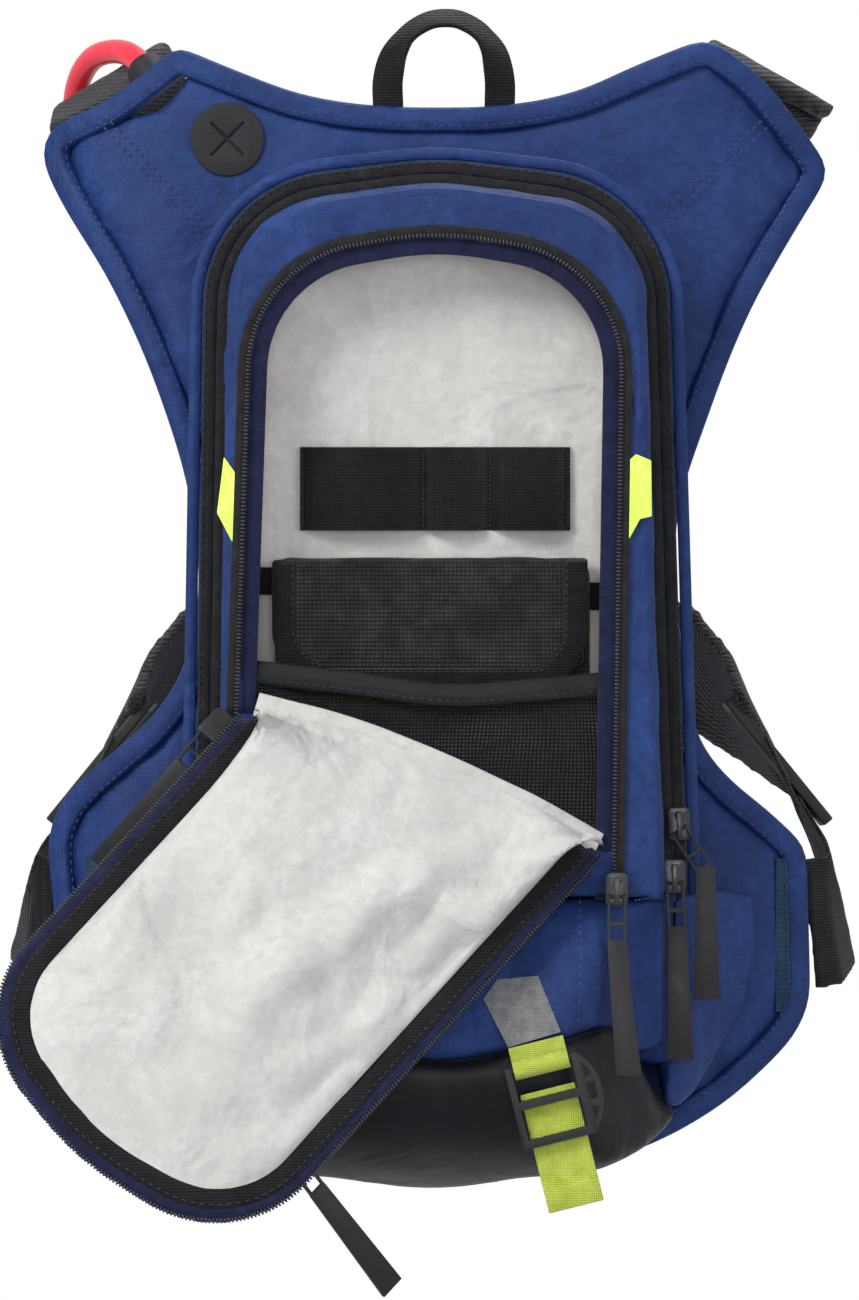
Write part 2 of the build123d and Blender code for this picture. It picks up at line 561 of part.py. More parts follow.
# ---- chest clasp: a tongue on the right, a housing with a release button on the left ----
CLASP_Z = 10.0
CLASP_BACK, CLASP_FACE = 145.0, 157.0  # Y of the housing's two faces
TONGUE_HALF, TONGUE_THICK, TONGUE_REACH = 9.0, 3.4, 9.0
BUTTON_RADIUS, BUTTON_TRAVEL = 7.0, 2.5
middle = (CLASP_BACK + CLASP_FACE) / 2
housing = block((-33, 0), (CLASP_BACK, CLASP_FACE), (CLASP_Z - 15, CLASP_Z + 15))
housing = fillet(housing.edges().filter_by(Axis.Y), 5)
housing = housing - block((-12, 1), (middle - 3, middle + 3), (CLASP_Z - 11.5, CLASP_Z + 11.5))
button_well = Pos(-20, CLASP_FACE, CLASP_Z) * Rot(90, 0, 0) * Cylinder(BUTTON_RADIUS + 0.15, 10)
housing = housing - button_well - mirror_x(chest_strap)
save("clasp_housing", housing)
button = Pos(-20, CLASP_FACE - 0.4, CLASP_Z) * Rot(90, 0, 0) * Cylinder(BUTTON_RADIUS, 3.6)
save("clasp_button", button)
plate = block((1, 33), (CLASP_BACK + 1, CLASP_FACE - 2), (CLASP_Z - 14, CLASP_Z + 14))
plate = fillet(plate.edges().filter_by(Axis.Y), 4)
tongue = block(
    (-TONGUE_REACH, 3), (middle - TONGUE_THICK / 2, middle + TONGUE_THICK / 2),
    (CLASP_Z - TONGUE_HALF, CLASP_Z + TONGUE_HALF),
)
tongue = chamfer(tongue.edges().filter_by(Axis.Y).group_by(Axis.X)[0], 4)
save("clasp_tongue", plate + tongue - chest_strap)

# ---- drinking hose, from its outlet behind the left shoulder to the bite valve ----
HOSE_ROUTE = [
    (-108, 4, 194), (-113, 15, 200.5), (-121, 31, 203.5), (-131, 49, 202), (-138, 70, 192), (-139.5, 91, 174),
    (-132, 111, 149), (-119, 129, 119), (-103, 144, 87), (-89, 155, 55), (-79, 161, 24), (-75, 162.5, -6),
]
points = [Vector(*point) for point in HOSE_ROUTE]
radii = []
for before, point, after in zip(points, points[1:], points[2:]):
    runs = (point - before, after - point)
    turn = math.radians(runs[0].get_angle(runs[1]))
    radii.append(0.45 * min(run.length for run in runs) / math.tan(turn / 2))
print("hose radii", [round(radius) for radius in radii])
hose_path = FilletPolyline(*HOSE_ROUTE, radius=radii)
hose_start = Plane(origin=points[0], z_dir=points[1] - points[0])
hose = sweep(hose_start * Circle(HOSE_DIAMETER / 2), path=hose_path)
whole = math.pi * HOSE_DIAMETER ** 2 / 4 * hose_path.length
print("hose length", round(hose_path.length, 1), "share of its volume", round(hose.volume / whole, 3))
save("drink_hose", hose)
outlet_plane = Plane(origin=points[0], z_dir=points[0] - points[1])
outlet = extrude(outlet_plane * Circle(7.5), amount=9, taper=12)
save("hose_outlet", outlet - mirror_x(shoulder_straps["left"]) - edge_binding - yoke_panel)
valve_plane = Plane(origin=points[-1], z_dir=points[-1] - points[-2])
valve = extrude(valve_plane * Circle(6.5), amount=14)
valve += extrude(valve_plane.offset(14) * Circle(5.5), amount=20, taper=8)
save("bite_valve", valve)
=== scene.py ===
import json
import math
import random

import bmesh
import bpy
from mathutils import Matrix, Vector, noise
from mathutils.bvhtree import BVHTree


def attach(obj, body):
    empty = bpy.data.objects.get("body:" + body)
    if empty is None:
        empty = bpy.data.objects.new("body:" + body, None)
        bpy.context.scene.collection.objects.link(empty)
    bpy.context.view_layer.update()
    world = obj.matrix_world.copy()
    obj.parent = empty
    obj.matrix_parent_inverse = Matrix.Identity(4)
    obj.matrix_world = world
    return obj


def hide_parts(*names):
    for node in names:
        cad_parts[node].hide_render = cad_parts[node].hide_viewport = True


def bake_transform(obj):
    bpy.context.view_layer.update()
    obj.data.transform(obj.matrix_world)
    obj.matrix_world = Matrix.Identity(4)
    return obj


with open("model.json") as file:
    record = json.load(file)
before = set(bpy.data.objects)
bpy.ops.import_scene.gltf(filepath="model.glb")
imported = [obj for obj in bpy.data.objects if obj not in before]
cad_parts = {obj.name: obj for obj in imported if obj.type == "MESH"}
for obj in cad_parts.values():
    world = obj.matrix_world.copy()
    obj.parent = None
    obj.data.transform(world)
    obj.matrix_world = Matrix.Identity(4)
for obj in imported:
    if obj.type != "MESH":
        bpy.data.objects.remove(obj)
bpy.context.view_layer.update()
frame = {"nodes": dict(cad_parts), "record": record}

# A hydration pack seen from the front, held up by its flat back. Metres, +Z up, front at -Y.

# ---- camera ----
# Level with the middle of the pack and far off, so the straps and the front share one scale.
scene = bpy.context.scene
camera = bpy.data.objects.new("camera", bpy.data.cameras.new("camera"))
camera.location = (-0.0038, -2.5, 0.05)
aim = Vector((-0.0038, -0.05, -0.018))
camera.rotation_euler = (aim - camera.location).to_track_quat("-Z", "Y").to_euler()
camera.data.sensor_fit = "VERTICAL"
camera.data.sensor_height = 24
camera.data.lens = 24 * 2.45 / 0.470
scene.collection.objects.link(camera)
scene.camera = camera
scene.view_settings.view_transform = "Standard"

# ---- drinking hose ----
# A clear red tube, pushed onto a fitting behind the left shoulder. It runs over the strap and
# down the chest to a bite valve. It is fixed in place and does not follow the harness when it opens.
HOSE_ROUTE = [
    (-0.108, 0.004, 0.194), (-0.113, 0.015, 0.2005), (-0.121, 0.031, 0.2035), (-0.131, 0.049, 0.202),
    (-0.138, 0.070, 0.192), (-0.1395, 0.091, 0.174), (-0.132, 0.111, 0.149), (-0.119, 0.129, 0.119),
    (-0.103, 0.144, 0.087), (-0.089, 0.155, 0.055), (-0.079, 0.161, 0.024), (-0.075, 0.1625, -0.006),
]


def nurbs_line(points, name):
    """A smooth curve object whose control points are the given ones."""
    data = bpy.data.curves.new(name, "CURVE")
    data.dimensions = "3D"
    spline = data.splines.new("NURBS")
    spline.points.add(len(points) - 1)
    for control, point in zip(spline.points, points):
        control.co = (*point, 1)
    spline.order_u = 3
    spline.use_endpoint_u = True
    spline.resolution_u = 12
    return bpy.data.objects.new(name, data)


def placed(name, mesh, body=None, material=None, smooth=True):
    """A mesh as a scene object that rides on a CAD body."""
    obj = bpy.data.objects.new(name, mesh)
    scene.collection.objects.link(obj)
    if material:
        mesh.materials.append(material)
    if smooth:
        mesh.shade_smooth()
    if body:
        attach(obj, body)
    return obj


line = nurbs_line(HOSE_ROUTE, "hose_line")
scene.collection.objects.link(line)
hose_centre = [v.co.copy() for v in bpy.data.meshes.new_from_object(
    line.evaluated_get(bpy.context.evaluated_depsgraph_get())).vertices]
line.data.bevel_depth = 0.0045
line.data.bevel_resolution = 8
line.data.use_fill_caps = True
bpy.context.view_layer.update()
hose = placed("drinking_hose", bpy.data.meshes.new_from_object(
    line.evaluated_get(bpy.context.evaluated_depsgraph_get())))
bpy.data.objects.remove(line)
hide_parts("drink_hose")
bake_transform(hose)

# ---- materials ----
# Everything is cloth, webbing, foam or moulded plastic. Weaves and creases are worked out from
# the place on the piece, so they keep their real size.


def group(name, inputs, outputs):
    """An empty shader node group with its sockets."""
    tree = bpy.data.node_groups.new(name, "ShaderNodeTree")
    for socket, kind, value in inputs:
        made = tree.interface.new_socket(socket, in_out="INPUT", socket_type=kind)
        if value is not None:
            made.default_value = value
    for socket, kind in outputs:
        tree.interface.new_socket(socket, in_out="OUTPUT", socket_type=kind)
    return tree, tree.nodes.new("NodeGroupInput"), tree.nodes.new("NodeGroupOutput")


def add(tree, kind, inputs=None, **settings):
    """A node with its settings and its inputs, each a value or a socket to link from."""
    node = tree.nodes.new(kind)
    for key, value in settings.items():
        setattr(node, key, value)
    for key, value in (inputs or {}).items():
        if isinstance(value, bpy.types.NodeSocket):
            tree.links.new(value, node.inputs[key])
        else:
            node.inputs[key].default_value = value
    return node


def weave_group():
    """Threads over and under each other: a height and a mask of the gaps between threads."""
    tree, given, result = group(
        "weave",
        [("Vector", "NodeSocketVector", None), ("Threads", "NodeSocketFloat", 1200.0)],
        [("Height", "NodeSocketFloat"), ("Gap", "NodeSocketFloat")],
    )
    scaled = add(tree, "ShaderNodeVectorMath", {0: given.outputs["Vector"], "Scale": given.outputs["Threads"]},
                 operation="SCALE")
    parts = add(tree, "ShaderNodeSeparateXYZ", {0: scaled.outputs[0]})
    across = add(tree, "ShaderNodeMath", {0: parts.outputs["X"], 1: parts.outputs["Y"]}, operation="ADD")
    waves = []
    for source in (across.outputs[0], parts.outputs["Z"]):
        sine = add(tree, "ShaderNodeMath", {0: source}, operation="SINE")
        waves.append(add(tree, "ShaderNodeMath", {0: sine.outputs[0]}, operation="ABSOLUTE").outputs[0])
    over = add(tree, "ShaderNodeMath", {0: waves[0], 1: waves[1]}, operation="MULTIPLY")
    gap = add(tree, "ShaderNodeMath", {0: 1.0, 1: over.outputs[0]}, operation="SUBTRACT")
    tree.links.new(over.outputs[0], result.inputs["Height"])
    tree.links.new(gap.outputs[0], result.inputs["Gap"])
    return tree


def crease_group():
    """Soft creases and dimples of handled cloth, as a height, and its broad part again for painted shade in the crease
    hollows.
    """
    tree, given, result = group(
        "creases",
        [("Vector", "NodeSocketVector", None), ("Size", "NodeSocketFloat", 60.0)],
        [("Height", "NodeSocketFloat"), ("Fade", "NodeSocketFloat")],
    )
    broad = add(tree, "ShaderNodeTexNoise", {
        "Vector": given.outputs["Vector"], "Scale": given.outputs["Size"], "Detail": 3.0, "Distortion": 0.8})
    ridge = add(tree, "ShaderNodeTexNoise", {
        "Vector": given.outputs["Vector"], "Scale": given.outputs["Size"], "Detail": 2.0,
        "Roughness": 0.4, "Distortion": 2.2}, noise_type="RIDGED_MULTIFRACTAL")
    small = add(tree, "ShaderNodeMath", {0: ridge.outputs[0], 1: 0.18}, operation="MULTIPLY")
    height = add(tree, "ShaderNodeMath", {0: broad.outputs[0], 1: small.outputs[0]}, operation="ADD")
    tree.links.new(height.outputs[0], result.inputs["Height"])
    tree.links.new(broad.outputs[0], result.inputs["Fade"])
    return tree


WEAVE, CREASES = weave_group(), crease_group()


def cloth(name, dark, light, threads=2600.0, weave=0.00012, creases=0.0012, crease_size=42.0,
          rough=0.62, sheen=0.12, gaps=0.35, coat=0.0):
    """A woven or coated cloth, between two colours set by painted crease shade and a random mottle, with its thread
    and crease heights in metres.
    """
    material = bpy.data.materials.new(name)
    material.use_nodes = True
    tree = material.node_tree
    shader = tree.nodes["Principled BSDF"]
    place = add(tree, "ShaderNodeTexCoord").outputs["Object"]
    woven = add(tree, "ShaderNodeGroup", {}, node_tree=WEAVE)
    tree.links.new(place, woven.inputs["Vector"])
    woven.inputs["Threads"].default_value = threads
    creased = add(tree, "ShaderNodeGroup", {}, node_tree=CREASES)
    tree.links.new(place, creased.inputs["Vector"])
    creased.inputs["Size"].default_value = crease_size
    worn = add(tree, "ShaderNodeTexNoise", {"Vector": place, "Scale": 260.0, "Detail": 4.0, "Roughness": 0.7})
    # Painted shade and light: the colour is dark in the crease hollows and light on their crests, mixed with a random
    # mottle.
    shade_and_mottle = add(tree, "ShaderNodeMath", {0: creased.outputs["Fade"], 1: worn.outputs[0]}, operation="MULTIPLY")
    ramp = add(tree, "ShaderNodeMapRange", {0: shade_and_mottle.outputs[0], 1: 0.12, 2: 0.42, 3: 0.0, 4: 1.0})
    colour = add(tree, "ShaderNodeMix", {0: ramp.outputs[0]}, data_type="RGBA")
    colour.inputs[6].default_value = (*dark, 1)
    colour.inputs[7].default_value = (*light, 1)
    shade = add(tree, "ShaderNodeMapRange", {
        0: woven.outputs["Gap"], 1: 0.2, 2: 1.0, 3: 1.0, 4: 1.0 - gaps})
    dim = add(tree, "ShaderNodeVectorMath", {0: colour.outputs[2], "Scale": shade.outputs[0]}, operation="SCALE")
    tree.links.new(dim.outputs[0], shader.inputs["Base Color"])
    bump = add(tree, "ShaderNodeBump", {"Height": creased.outputs["Height"], "Distance": creases, "Strength": 1.0})
    fine = add(tree, "ShaderNodeBump", {
        "Height": woven.outputs["Height"], "Distance": weave, "Strength": 0.8, "Normal": bump.outputs[0]})
    tree.links.new(fine.outputs[0], shader.inputs["Normal"])
    shader.inputs["Roughness"].default_value = rough
    shader.inputs["Sheen Weight"].default_value = sheen
    shader.inputs["Specular IOR Level"].default_value = 0.16
    shader.inputs["Sheen Roughness"].default_value = 0.45
    shader.inputs["Coat Weight"].default_value = coat
    shader.inputs["Coat Roughness"].default_value = 0.35
    return material


def moulded(name, dark, light, rough=0.42, grain=900.0, metallic=0.0, transmission=0.0):
    """A moulded or cast surface with a fine grain and slight scuffs."""
    material = bpy.data.materials.new(name)
    material.use_nodes = True
    tree = material.node_tree
    shader = tree.nodes["Principled BSDF"]
    place = add(tree, "ShaderNodeTexCoord").outputs["Object"]
    grained = add(tree, "ShaderNodeTexNoise", {"Vector": place, "Scale": grain, "Detail": 3.0})
    scuffs = add(tree, "ShaderNodeTexNoise", {"Vector": place, "Scale": 120.0, "Detail": 6.0, "Roughness": 0.75})
    colour = add(tree, "ShaderNodeMix", {0: scuffs.outputs[0]}, data_type="RGBA")
    colour.inputs[6].default_value = (*dark, 1)
    colour.inputs[7].default_value = (*light, 1)
    tree.links.new(colour.outputs[2], shader.inputs["Base Color"])
    uneven = add(tree, "ShaderNodeMapRange", {0: scuffs.outputs[0], 1: 0.3, 2: 0.8, 3: rough - 0.1, 4: rough + 0.15})
    tree.links.new(uneven.outputs[0], shader.inputs["Roughness"])
    bump = add(tree, "ShaderNodeBump", {"Height": grained.outputs[0], "Distance": 0.00008, "Strength": 0.5})
    tree.links.new(bump.outputs[0], shader.inputs["Normal"])
    shader.inputs["Metallic"].default_value = metallic
    shader.inputs["Specular IOR Level"].default_value = 0.5 if metallic else 0.3
    shader.inputs["Transmission Weight"].default_value = transmission
    return material


BLUE = cloth("blue_fabric", (0.011, 0.028, 0.112), (0.021, 0.056, 0.205), threads=5200, rough=0.46, sheen=0.0,
             creases=0.0030, crease_size=26, gaps=0.25)
NAVY = cloth("navy_binding", (0.006, 0.008, 0.034), (0.016, 0.020, 0.070), threads=4200, weave=0.0003,
             creases=0.0004, crease_size=120, rough=0.72)
BLACK = cloth("black_webbing", (0.006, 0.006, 0.007), (0.018, 0.018, 0.020), threads=3600, weave=0.0003,
              creases=0.0003, crease_size=90, rough=0.75, gaps=0.6)
SMOOTH_BLACK = cloth("black_fabric", (0.003, 0.004, 0.006), (0.009, 0.009, 0.012), threads=5200,
                     weave=0.00005, creases=0.0020, crease_size=30, rough=0.42, sheen=0.05, coat=0.1)
TAPE = cloth("zip_tape", (0.010, 0.010, 0.011), (0.024, 0.024, 0.026), threads=3600, weave=0.0002,
             creases=0.0003, crease_size=150, rough=0.7)
LINING = cloth("grey_lining", (0.46, 0.445, 0.424), (0.59, 0.573, 0.55), threads=5200, weave=0.00005,
               creases=0.0040, crease_size=30, rough=0.60, sheen=0.05, gaps=0.08)
NEON = cloth("neon_print", (0.55, 0.85, 0.08), (0.80, 1.0, 0.20), threads=3000, weave=0.00005,
             creases=0.0004, rough=0.5, sheen=0.0, gaps=0.05)
REFLECTIVE = cloth("reflective_fabric", (0.16, 0.16, 0.165), (0.32, 0.32, 0.33), threads=4200, weave=0.0002,
                   creases=0.0003, rough=0.35, sheen=0.0, gaps=0.5)
YELLOW = cloth("yellow_webbing", (0.42, 0.50, 0.05), (0.60, 0.68, 0.12), threads=4000, weave=0.0003,
               creases=0.0004, crease_size=90, rough=0.65, gaps=0.35)
TEAL = cloth("teal_strip", (0.010, 0.035, 0.075), (0.025, 0.065, 0.12), threads=1800, weave=0.0002, rough=0.7)
FOAM = cloth("back_foam", (0.010, 0.010, 0.013), (0.035, 0.036, 0.042), threads=1900, weave=0.0006,
             creases=0.0008, crease_size=60, rough=0.85, sheen=0.2, gaps=0.75)
PLASTIC = moulded("black_plastic", (0.008, 0.008, 0.009), (0.018, 0.018, 0.020), rough=0.5)
SLIDER = moulded("slider_metal", (0.020, 0.020, 0.022), (0.06, 0.06, 0.064), rough=0.32, metallic=0.6)
RUBBER = moulded("port_rubber", (0.007, 0.007, 0.008), (0.018, 0.018, 0.020), rough=0.6)
FILM = moulded("clear_film", (0.45, 0.6, 0.7), (0.6, 0.75, 0.85), rough=0.3, transmission=0.5)
RED = moulded("hose_plastic", (0.86, 0.016, 0.040), (0.95, 0.040, 0.070), rough=0.16, transmission=0.15)
RED.node_tree.nodes["Principled BSDF"].inputs["Subsurface Weight"].default_value = 0.25
hose.data.materials.append(RED)
hose.data.shade_smooth()

FINISHES = {
    "blue_fabric": BLUE, "navy_binding": NAVY, "black_webbing": BLACK, "black_fabric": SMOOTH_BLACK,
    "zip_tape": TAPE, "grey_lining": LINING, "neon_print": NEON, "reflective_fabric": REFLECTIVE,
    "yellow_webbing": YELLOW, "teal_strip": TEAL, "back_foam": FOAM, "black_mesh": BLACK,
    "black_plastic": PLASTIC, "slider_metal": SLIDER, "port_rubber": RUBBER, "clear_film": FILM,
    "hose_plastic": RED,
}
SLOT_OF = {part["node"]: part["material_slot"] for part in frame["record"]["subparts"]}
BODY_OF = {node: body for body, nodes in frame["record"]["behaviour"]["bodies"].items() for node in nodes}
for node, obj in frame["nodes"].items():
    for index in range(len(obj.material_slots)):
        obj.material_slots[index].link = "OBJECT"
        obj.material_slots[index].material = FINISHES[SLOT_OF[node]]

# ---- the yoke: two layers of cloth over foam ----
# The panel that lies on the back. The foam makes it swell between its bound edges.


def solid_copy(name, nodes, voxel, keep=None):
    """The outer surface of some CAD nodes as one even mesh of small squares."""
    mesh = bpy.data.meshes.new(name)
    work = bmesh.new()
    for node in nodes:
        work.from_mesh(frame["nodes"][node].data)
    if keep:
        keep(work)
    work.to_mesh(mesh)
    work.free()
    obj = placed(name, mesh)
    obj.data.remesh_voxel_size = voxel
    remesh = obj.modifiers.new("remesh", "REMESH")
    remesh.mode = "VOXEL"
    remesh.voxel_size = voxel
    bake(obj)
    return obj


def bake(obj):
    """Turns the object's modifiers into its mesh."""
    mesh = bpy.data.meshes.new_from_object(obj.evaluated_get(bpy.context.evaluated_depsgraph_get()))
    obj.modifiers.clear()
    old, obj.data = obj.data, mesh
    bpy.data.meshes.remove(old)


def smoothed(obj, times, factor=0.5):
    work = bmesh.new()
    work.from_mesh(obj.data)
    for _ in range(times):
        bmesh.ops.smooth_vert(work, verts=work.verts, factor=factor, use_axis_x=True, use_axis_y=True, use_axis_z=True)
    work.to_mesh(obj.data)
    work.free()


def wrinkled(obj, height, size, seed=0.0, stretch=(1, 1, 1)):
    """Moves the surface in and out by soft noise: height in metres, size as folds per metre."""
    normals = [v.normal.copy() for v in obj.data.vertices]
    for vertex, normal in zip(obj.data.vertices, normals):
        at = Vector([c * size * s for c, s in zip(vertex.co, stretch)]) + Vector((seed, seed * 1.7, -seed))
        swirl = noise.noise_vector(at * 0.6) * 0.8
        value = noise.noise(at + swirl) + 0.45 * noise.noise(at * 2.3 + swirl)
        vertex.co += normal * height * value


def puffed(obj, pressure, reach, frames=20):
    """Blows the closed cloth up a little, as its foam or contents do, and holds it within reach."""
    start = [v.co.copy() for v in obj.data.vertices]
    cloth_settings = obj.modifiers.new("cloth", "CLOTH")
    cloth_settings.settings.quality = 5
    cloth_settings.settings.mass = 0.15
    cloth_settings.settings.tension_stiffness = 12
    cloth_settings.settings.compression_stiffness = 12
    cloth_settings.settings.bending_stiffness = 0.6
    cloth_settings.settings.use_pressure = True
    cloth_settings.settings.uniform_pressure_force = pressure
    cloth_settings.settings.effector_weights.gravity = 0
    cloth_settings.point_cache.frame_start = 1
    cloth_settings.point_cache.frame_end = frames
    for number in range(1, frames + 1):
        scene.frame_set(number)
    settled = bpy.data.meshes.new_from_object(obj.evaluated_get(bpy.context.evaluated_depsgraph_get()))
    obj.modifiers.clear()
    scene.frame_set(1)
    outward = [v.normal.copy() for v in obj.data.vertices]
    for vertex, old, new, normal in zip(obj.data.vertices, start, [v.co.copy() for v in settled.vertices], outward):
        vertex.co = old + normal * min(reach, max(0.0, (new - old).dot(normal)))
    bpy.data.meshes.remove(settled)


def finished(obj, material, node_body, nodes, levels=1):
    """Gives a soft piece its finish, its body and the CAD nodes it stands for."""
    obj.data.materials.clear()
    obj.data.materials.append(material)
    obj.data.shade_smooth()
    if levels:
        subdivision = obj.modifiers.new("smooth", "SUBSURF")
        subdivision.levels = subdivision.render_levels = levels
    if node_body:
        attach(obj, node_body)
    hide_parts(*nodes)


yoke = solid_copy("yoke_pad", ["yoke_panel", "back_panel"], 0.004)
smoothed(yoke, 2)
puffed(yoke, 3.0, 0.0008)
wrinkled(yoke, 0.0011, 30, 3.1)
finished(yoke, BLUE, "pack", ["yoke_panel", "back_panel"])

# ---- the tape bound round the yoke ----
# A folded navy tape, sewn on with one line of stitches near its inner edge.


def along(points, step):
    """Points at even steps along a line through the given points, with the direction at each."""
    made = []
    reach = 0.0
    for start, end in zip(points, points[1:]):
        run = (end - start).length
        if run < 1e-7:
            continue
        while reach < run:
            made.append((start.lerp(end, reach / run), (end - start).normalized()))
            reach += step
        reach -= run
    return made


def ribbon(name, points, faces, width, thick, closed=False, sides=12, wave=0.0, flat=0.72):
    """A strap through points with its face towards the given directions and its edges rounded."""
    work = bmesh.new()
    rings = []
    count = len(points)
    for i, (point, face) in enumerate(zip(points, faces)):
        before = points[(i - 1) % count] if closed or i else point
        after = points[(i + 1) % count] if closed or i + 1 < count else point
        forward = (after - before).normalized()
        across = forward.cross(face).normalized()
        out = across.cross(forward).normalized()
        shift = wave * noise.noise(point * 60)
        half = (width[i] if isinstance(width, list) else width) / 2
        ring = []
        for k in range(sides):
            turn = 2 * math.pi * k / sides
            x = math.copysign(abs(math.cos(turn)) ** (1 - flat), math.cos(turn)) * half
            y = math.copysign(abs(math.sin(turn)) ** 0.6, math.sin(turn)) * thick / 2
            ring.append(work.verts.new(point + across * x + out * (y + shift)))
        rings.append(ring)
    links = list(zip(rings, rings[1:])) + ([(rings[-1], rings[0])] if closed else [])
    for one, two in links:
        for k in range(sides):
            work.faces.new((one[k], one[(k + 1) % sides], two[(k + 1) % sides], two[k]))
    if not closed:
        work.faces.new(rings[0])
        work.faces.new(list(reversed(rings[-1])))
    bmesh.ops.recalc_face_normals(work, faces=work.faces)
    mesh = bpy.data.meshes.new(name)
    work.to_mesh(mesh)
    work.free()
    return mesh


def stitches(name, points, faces, body, material, pitch=0.0032, length=0.0021, radius=0.00032, lift=0.0):
    """A line of sewing thread: one small rounded dash after another along the points."""
    work = bmesh.new()
    reach = 0
    travelled = along(points, pitch)
    for place, forward in travelled:
        nearest = min(range(len(points)), key=lambda i: (points[i] - place).length_squared)
        out = faces[nearest].normalized()
        side = forward.cross(out).normalized()
        frame_ = Matrix((side, out, forward)).transposed().to_4x4()
        frame_.translation = place + out * lift
        made = bmesh.ops.create_icosphere(work, subdivisions=1, radius=1)
        bmesh.ops.transform(work, verts=made["verts"], matrix=frame_ @ Matrix.Diagonal(
            (radius, radius * 0.8, length / 2, 1)))
    mesh = bpy.data.meshes.new(name)
    work.to_mesh(mesh)
    work.free()
    return placed(name, mesh, body, material)


def wrap(x, depth, z):
    """A point on the yoke: flat in the middle, bent back round the body beyond 80 mm."""
    if abs(x) <= 0.080:
        return Vector((x, -depth, z)), Vector((0, -1, 0))
    turn = math.asin(min(0.999, (abs(x) - 0.080) / (0.100 + depth)))
    out = Vector((math.copysign(math.sin(turn), x), -math.cos(turn), 0))
    return Vector((math.copysign(0.080, x), 0.100, z)) + out * (0.100 + depth), out


def smooth_through(chain, step=0.004):
    """A smooth curve through the points of a chain."""
    data = bpy.data.curves.new("chain", "CURVE")
    data.dimensions = "3D"
    spline = data.splines.new("BEZIER")
    spline.bezier_points.add(len(chain) - 1)
    for knot, point in zip(spline.bezier_points, chain):
        knot.co = point
        knot.handle_left_type = knot.handle_right_type = "AUTO"
    spline.resolution_u = 10
    obj = bpy.data.objects.new("chain", data)
    scene.collection.objects.link(obj)
    mesh = bpy.data.meshes.new_from_object(obj.evaluated_get(bpy.context.evaluated_depsgraph_get()))
    points = [v.co.copy() for v in mesh.vertices]
    bpy.data.objects.remove(obj)
    bpy.data.meshes.remove(mesh)
    return [point for point, _ in along(points, step)] + [points[-1]]


NECK = [(-96, 202), (-70.6, 191.5), (-50.8, 184.5), (-25, 180.4), (0, 179.6), (25, 180.6),
        (50.8, 185.8), (70.6, 194.4), (98, 205.5)]
RIGHT_CAP = [(98, 205.5), (116, 192), (132.5, 172), (143, 157.5)]
RIGHT_SIDE = [(143, 157.5), (124.6, 127), (113, 105.5), (96.1, 61.9), (88.2, 36.4), (85.7, 11.9),
              (88.6, -17.6), (95, -52.2), (105.1, -66.2), (119.9, -78.8), (134.6, -92.9)]
BOTTOM = [(135.7, -148), (131.8, -158.4), (117.7, -174.2), (97.2, -190.4), (65.2, -205.6),
          (39.6, -211), (-3.6, -217.1), (-40, -212), (-67, -206), (-99, -191), (-120, -175),
          (-135, -159), (-139, -149)]
LEFT_SIDE = [(-144, -90), (-138.6, -76), (-123.8, -61), (-109.1, -48.2), (-99, -36), (-91, -17),
             (-88.2, 11.9), (-90.4, 31.7), (-98.3, 63), (-118.8, 113.4), (-138.6, 146.9), (-145, 160)]
LEFT_CAP = [(-145, 160), (-144.5, 170), (-124, 181), (-96, 202)]
outline = []
for chain in (NECK, RIGHT_CAP, RIGHT_SIDE, BOTTOM, LEFT_SIDE, LEFT_CAP):
    flat_chain = [Vector((x / 1000, 0, z / 1000)) for x, z in chain]
    outline += smooth_through(flat_chain)[:-1]
outline = [point for point, _ in along(outline + outline[:1], 0.004)]
for _ in range(3):
    outline = [(a + b * 2 + c) / 4 for a, b, c in zip(outline[-1:] + outline, outline, outline[1:] + outline[:1])]


def inside(points, distance):
    """A closed line in X and Z moved towards its inside."""
    made = []
    for a, b, c in zip(points[-1:] + points, points, points[1:] + points[:1]):
        forward = (c - a).normalized()
        made.append(b + Vector((forward.z, 0, -forward.x)) * distance)
    return made


edge = [wrap(p.x, 0.0066, p.z) for p in inside(outline, 0.0042)]
binding = placed("edge_tape", ribbon("edge_tape", [p for p, _ in edge], [n for _, n in edge], 0.0094, 0.0104,
                                     closed=True, sides=16), "pack", BLUE)
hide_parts("edge_binding")
THREAD = cloth("thread", (0.030, 0.045, 0.14), (0.065, 0.09, 0.24), threads=6000, weave=0.0, rough=0.6)
DARK_THREAD = cloth("dark_thread", (0.02, 0.02, 0.022), (0.05, 0.05, 0.055), threads=6000, weave=0.0, rough=0.6)
seam = [wrap(p.x, 0.0119, p.z) for p in inside(outline, 0.0066)]
seam = seam + seam[:1]
stitches("edge_stitches", [p for p, _ in seam], [n for _, n in seam], "pack", THREAD, lift=-0.0003)

# ---- shoulder seams ----
# A double line of stitches runs from each shoulder cap towards the bag.
for name, start, end in (("left", (-123.8, 175.7), (-75.6, 123)), ("right", (121, 175.7), (73.4, 132))):
    for gap in (-1.6, 1.6):
        turned = Vector((end[1] - start[1], 0, start[0] - end[0])).normalized() * gap
        run = [Vector((start[0] + turned.x, 0, start[1] + turned.z)) / 1000,
               Vector((end[0] + turned.x, 0, end[1] + turned.z)) / 1000]
        spots = [wrap(p.x, 0.0118, p.z) for p, _ in along(run, 0.002)]
        stitches(f"shoulder_seam_{name}_{'a' if gap < 0 else 'b'}", [p for p, _ in spots], [n for _, n in spots],
                 "pack", THREAD)

# ---- main bag ----
# The zipped bag that holds the reservoir. Its walls are single cloth, so it bulges and sags a little.


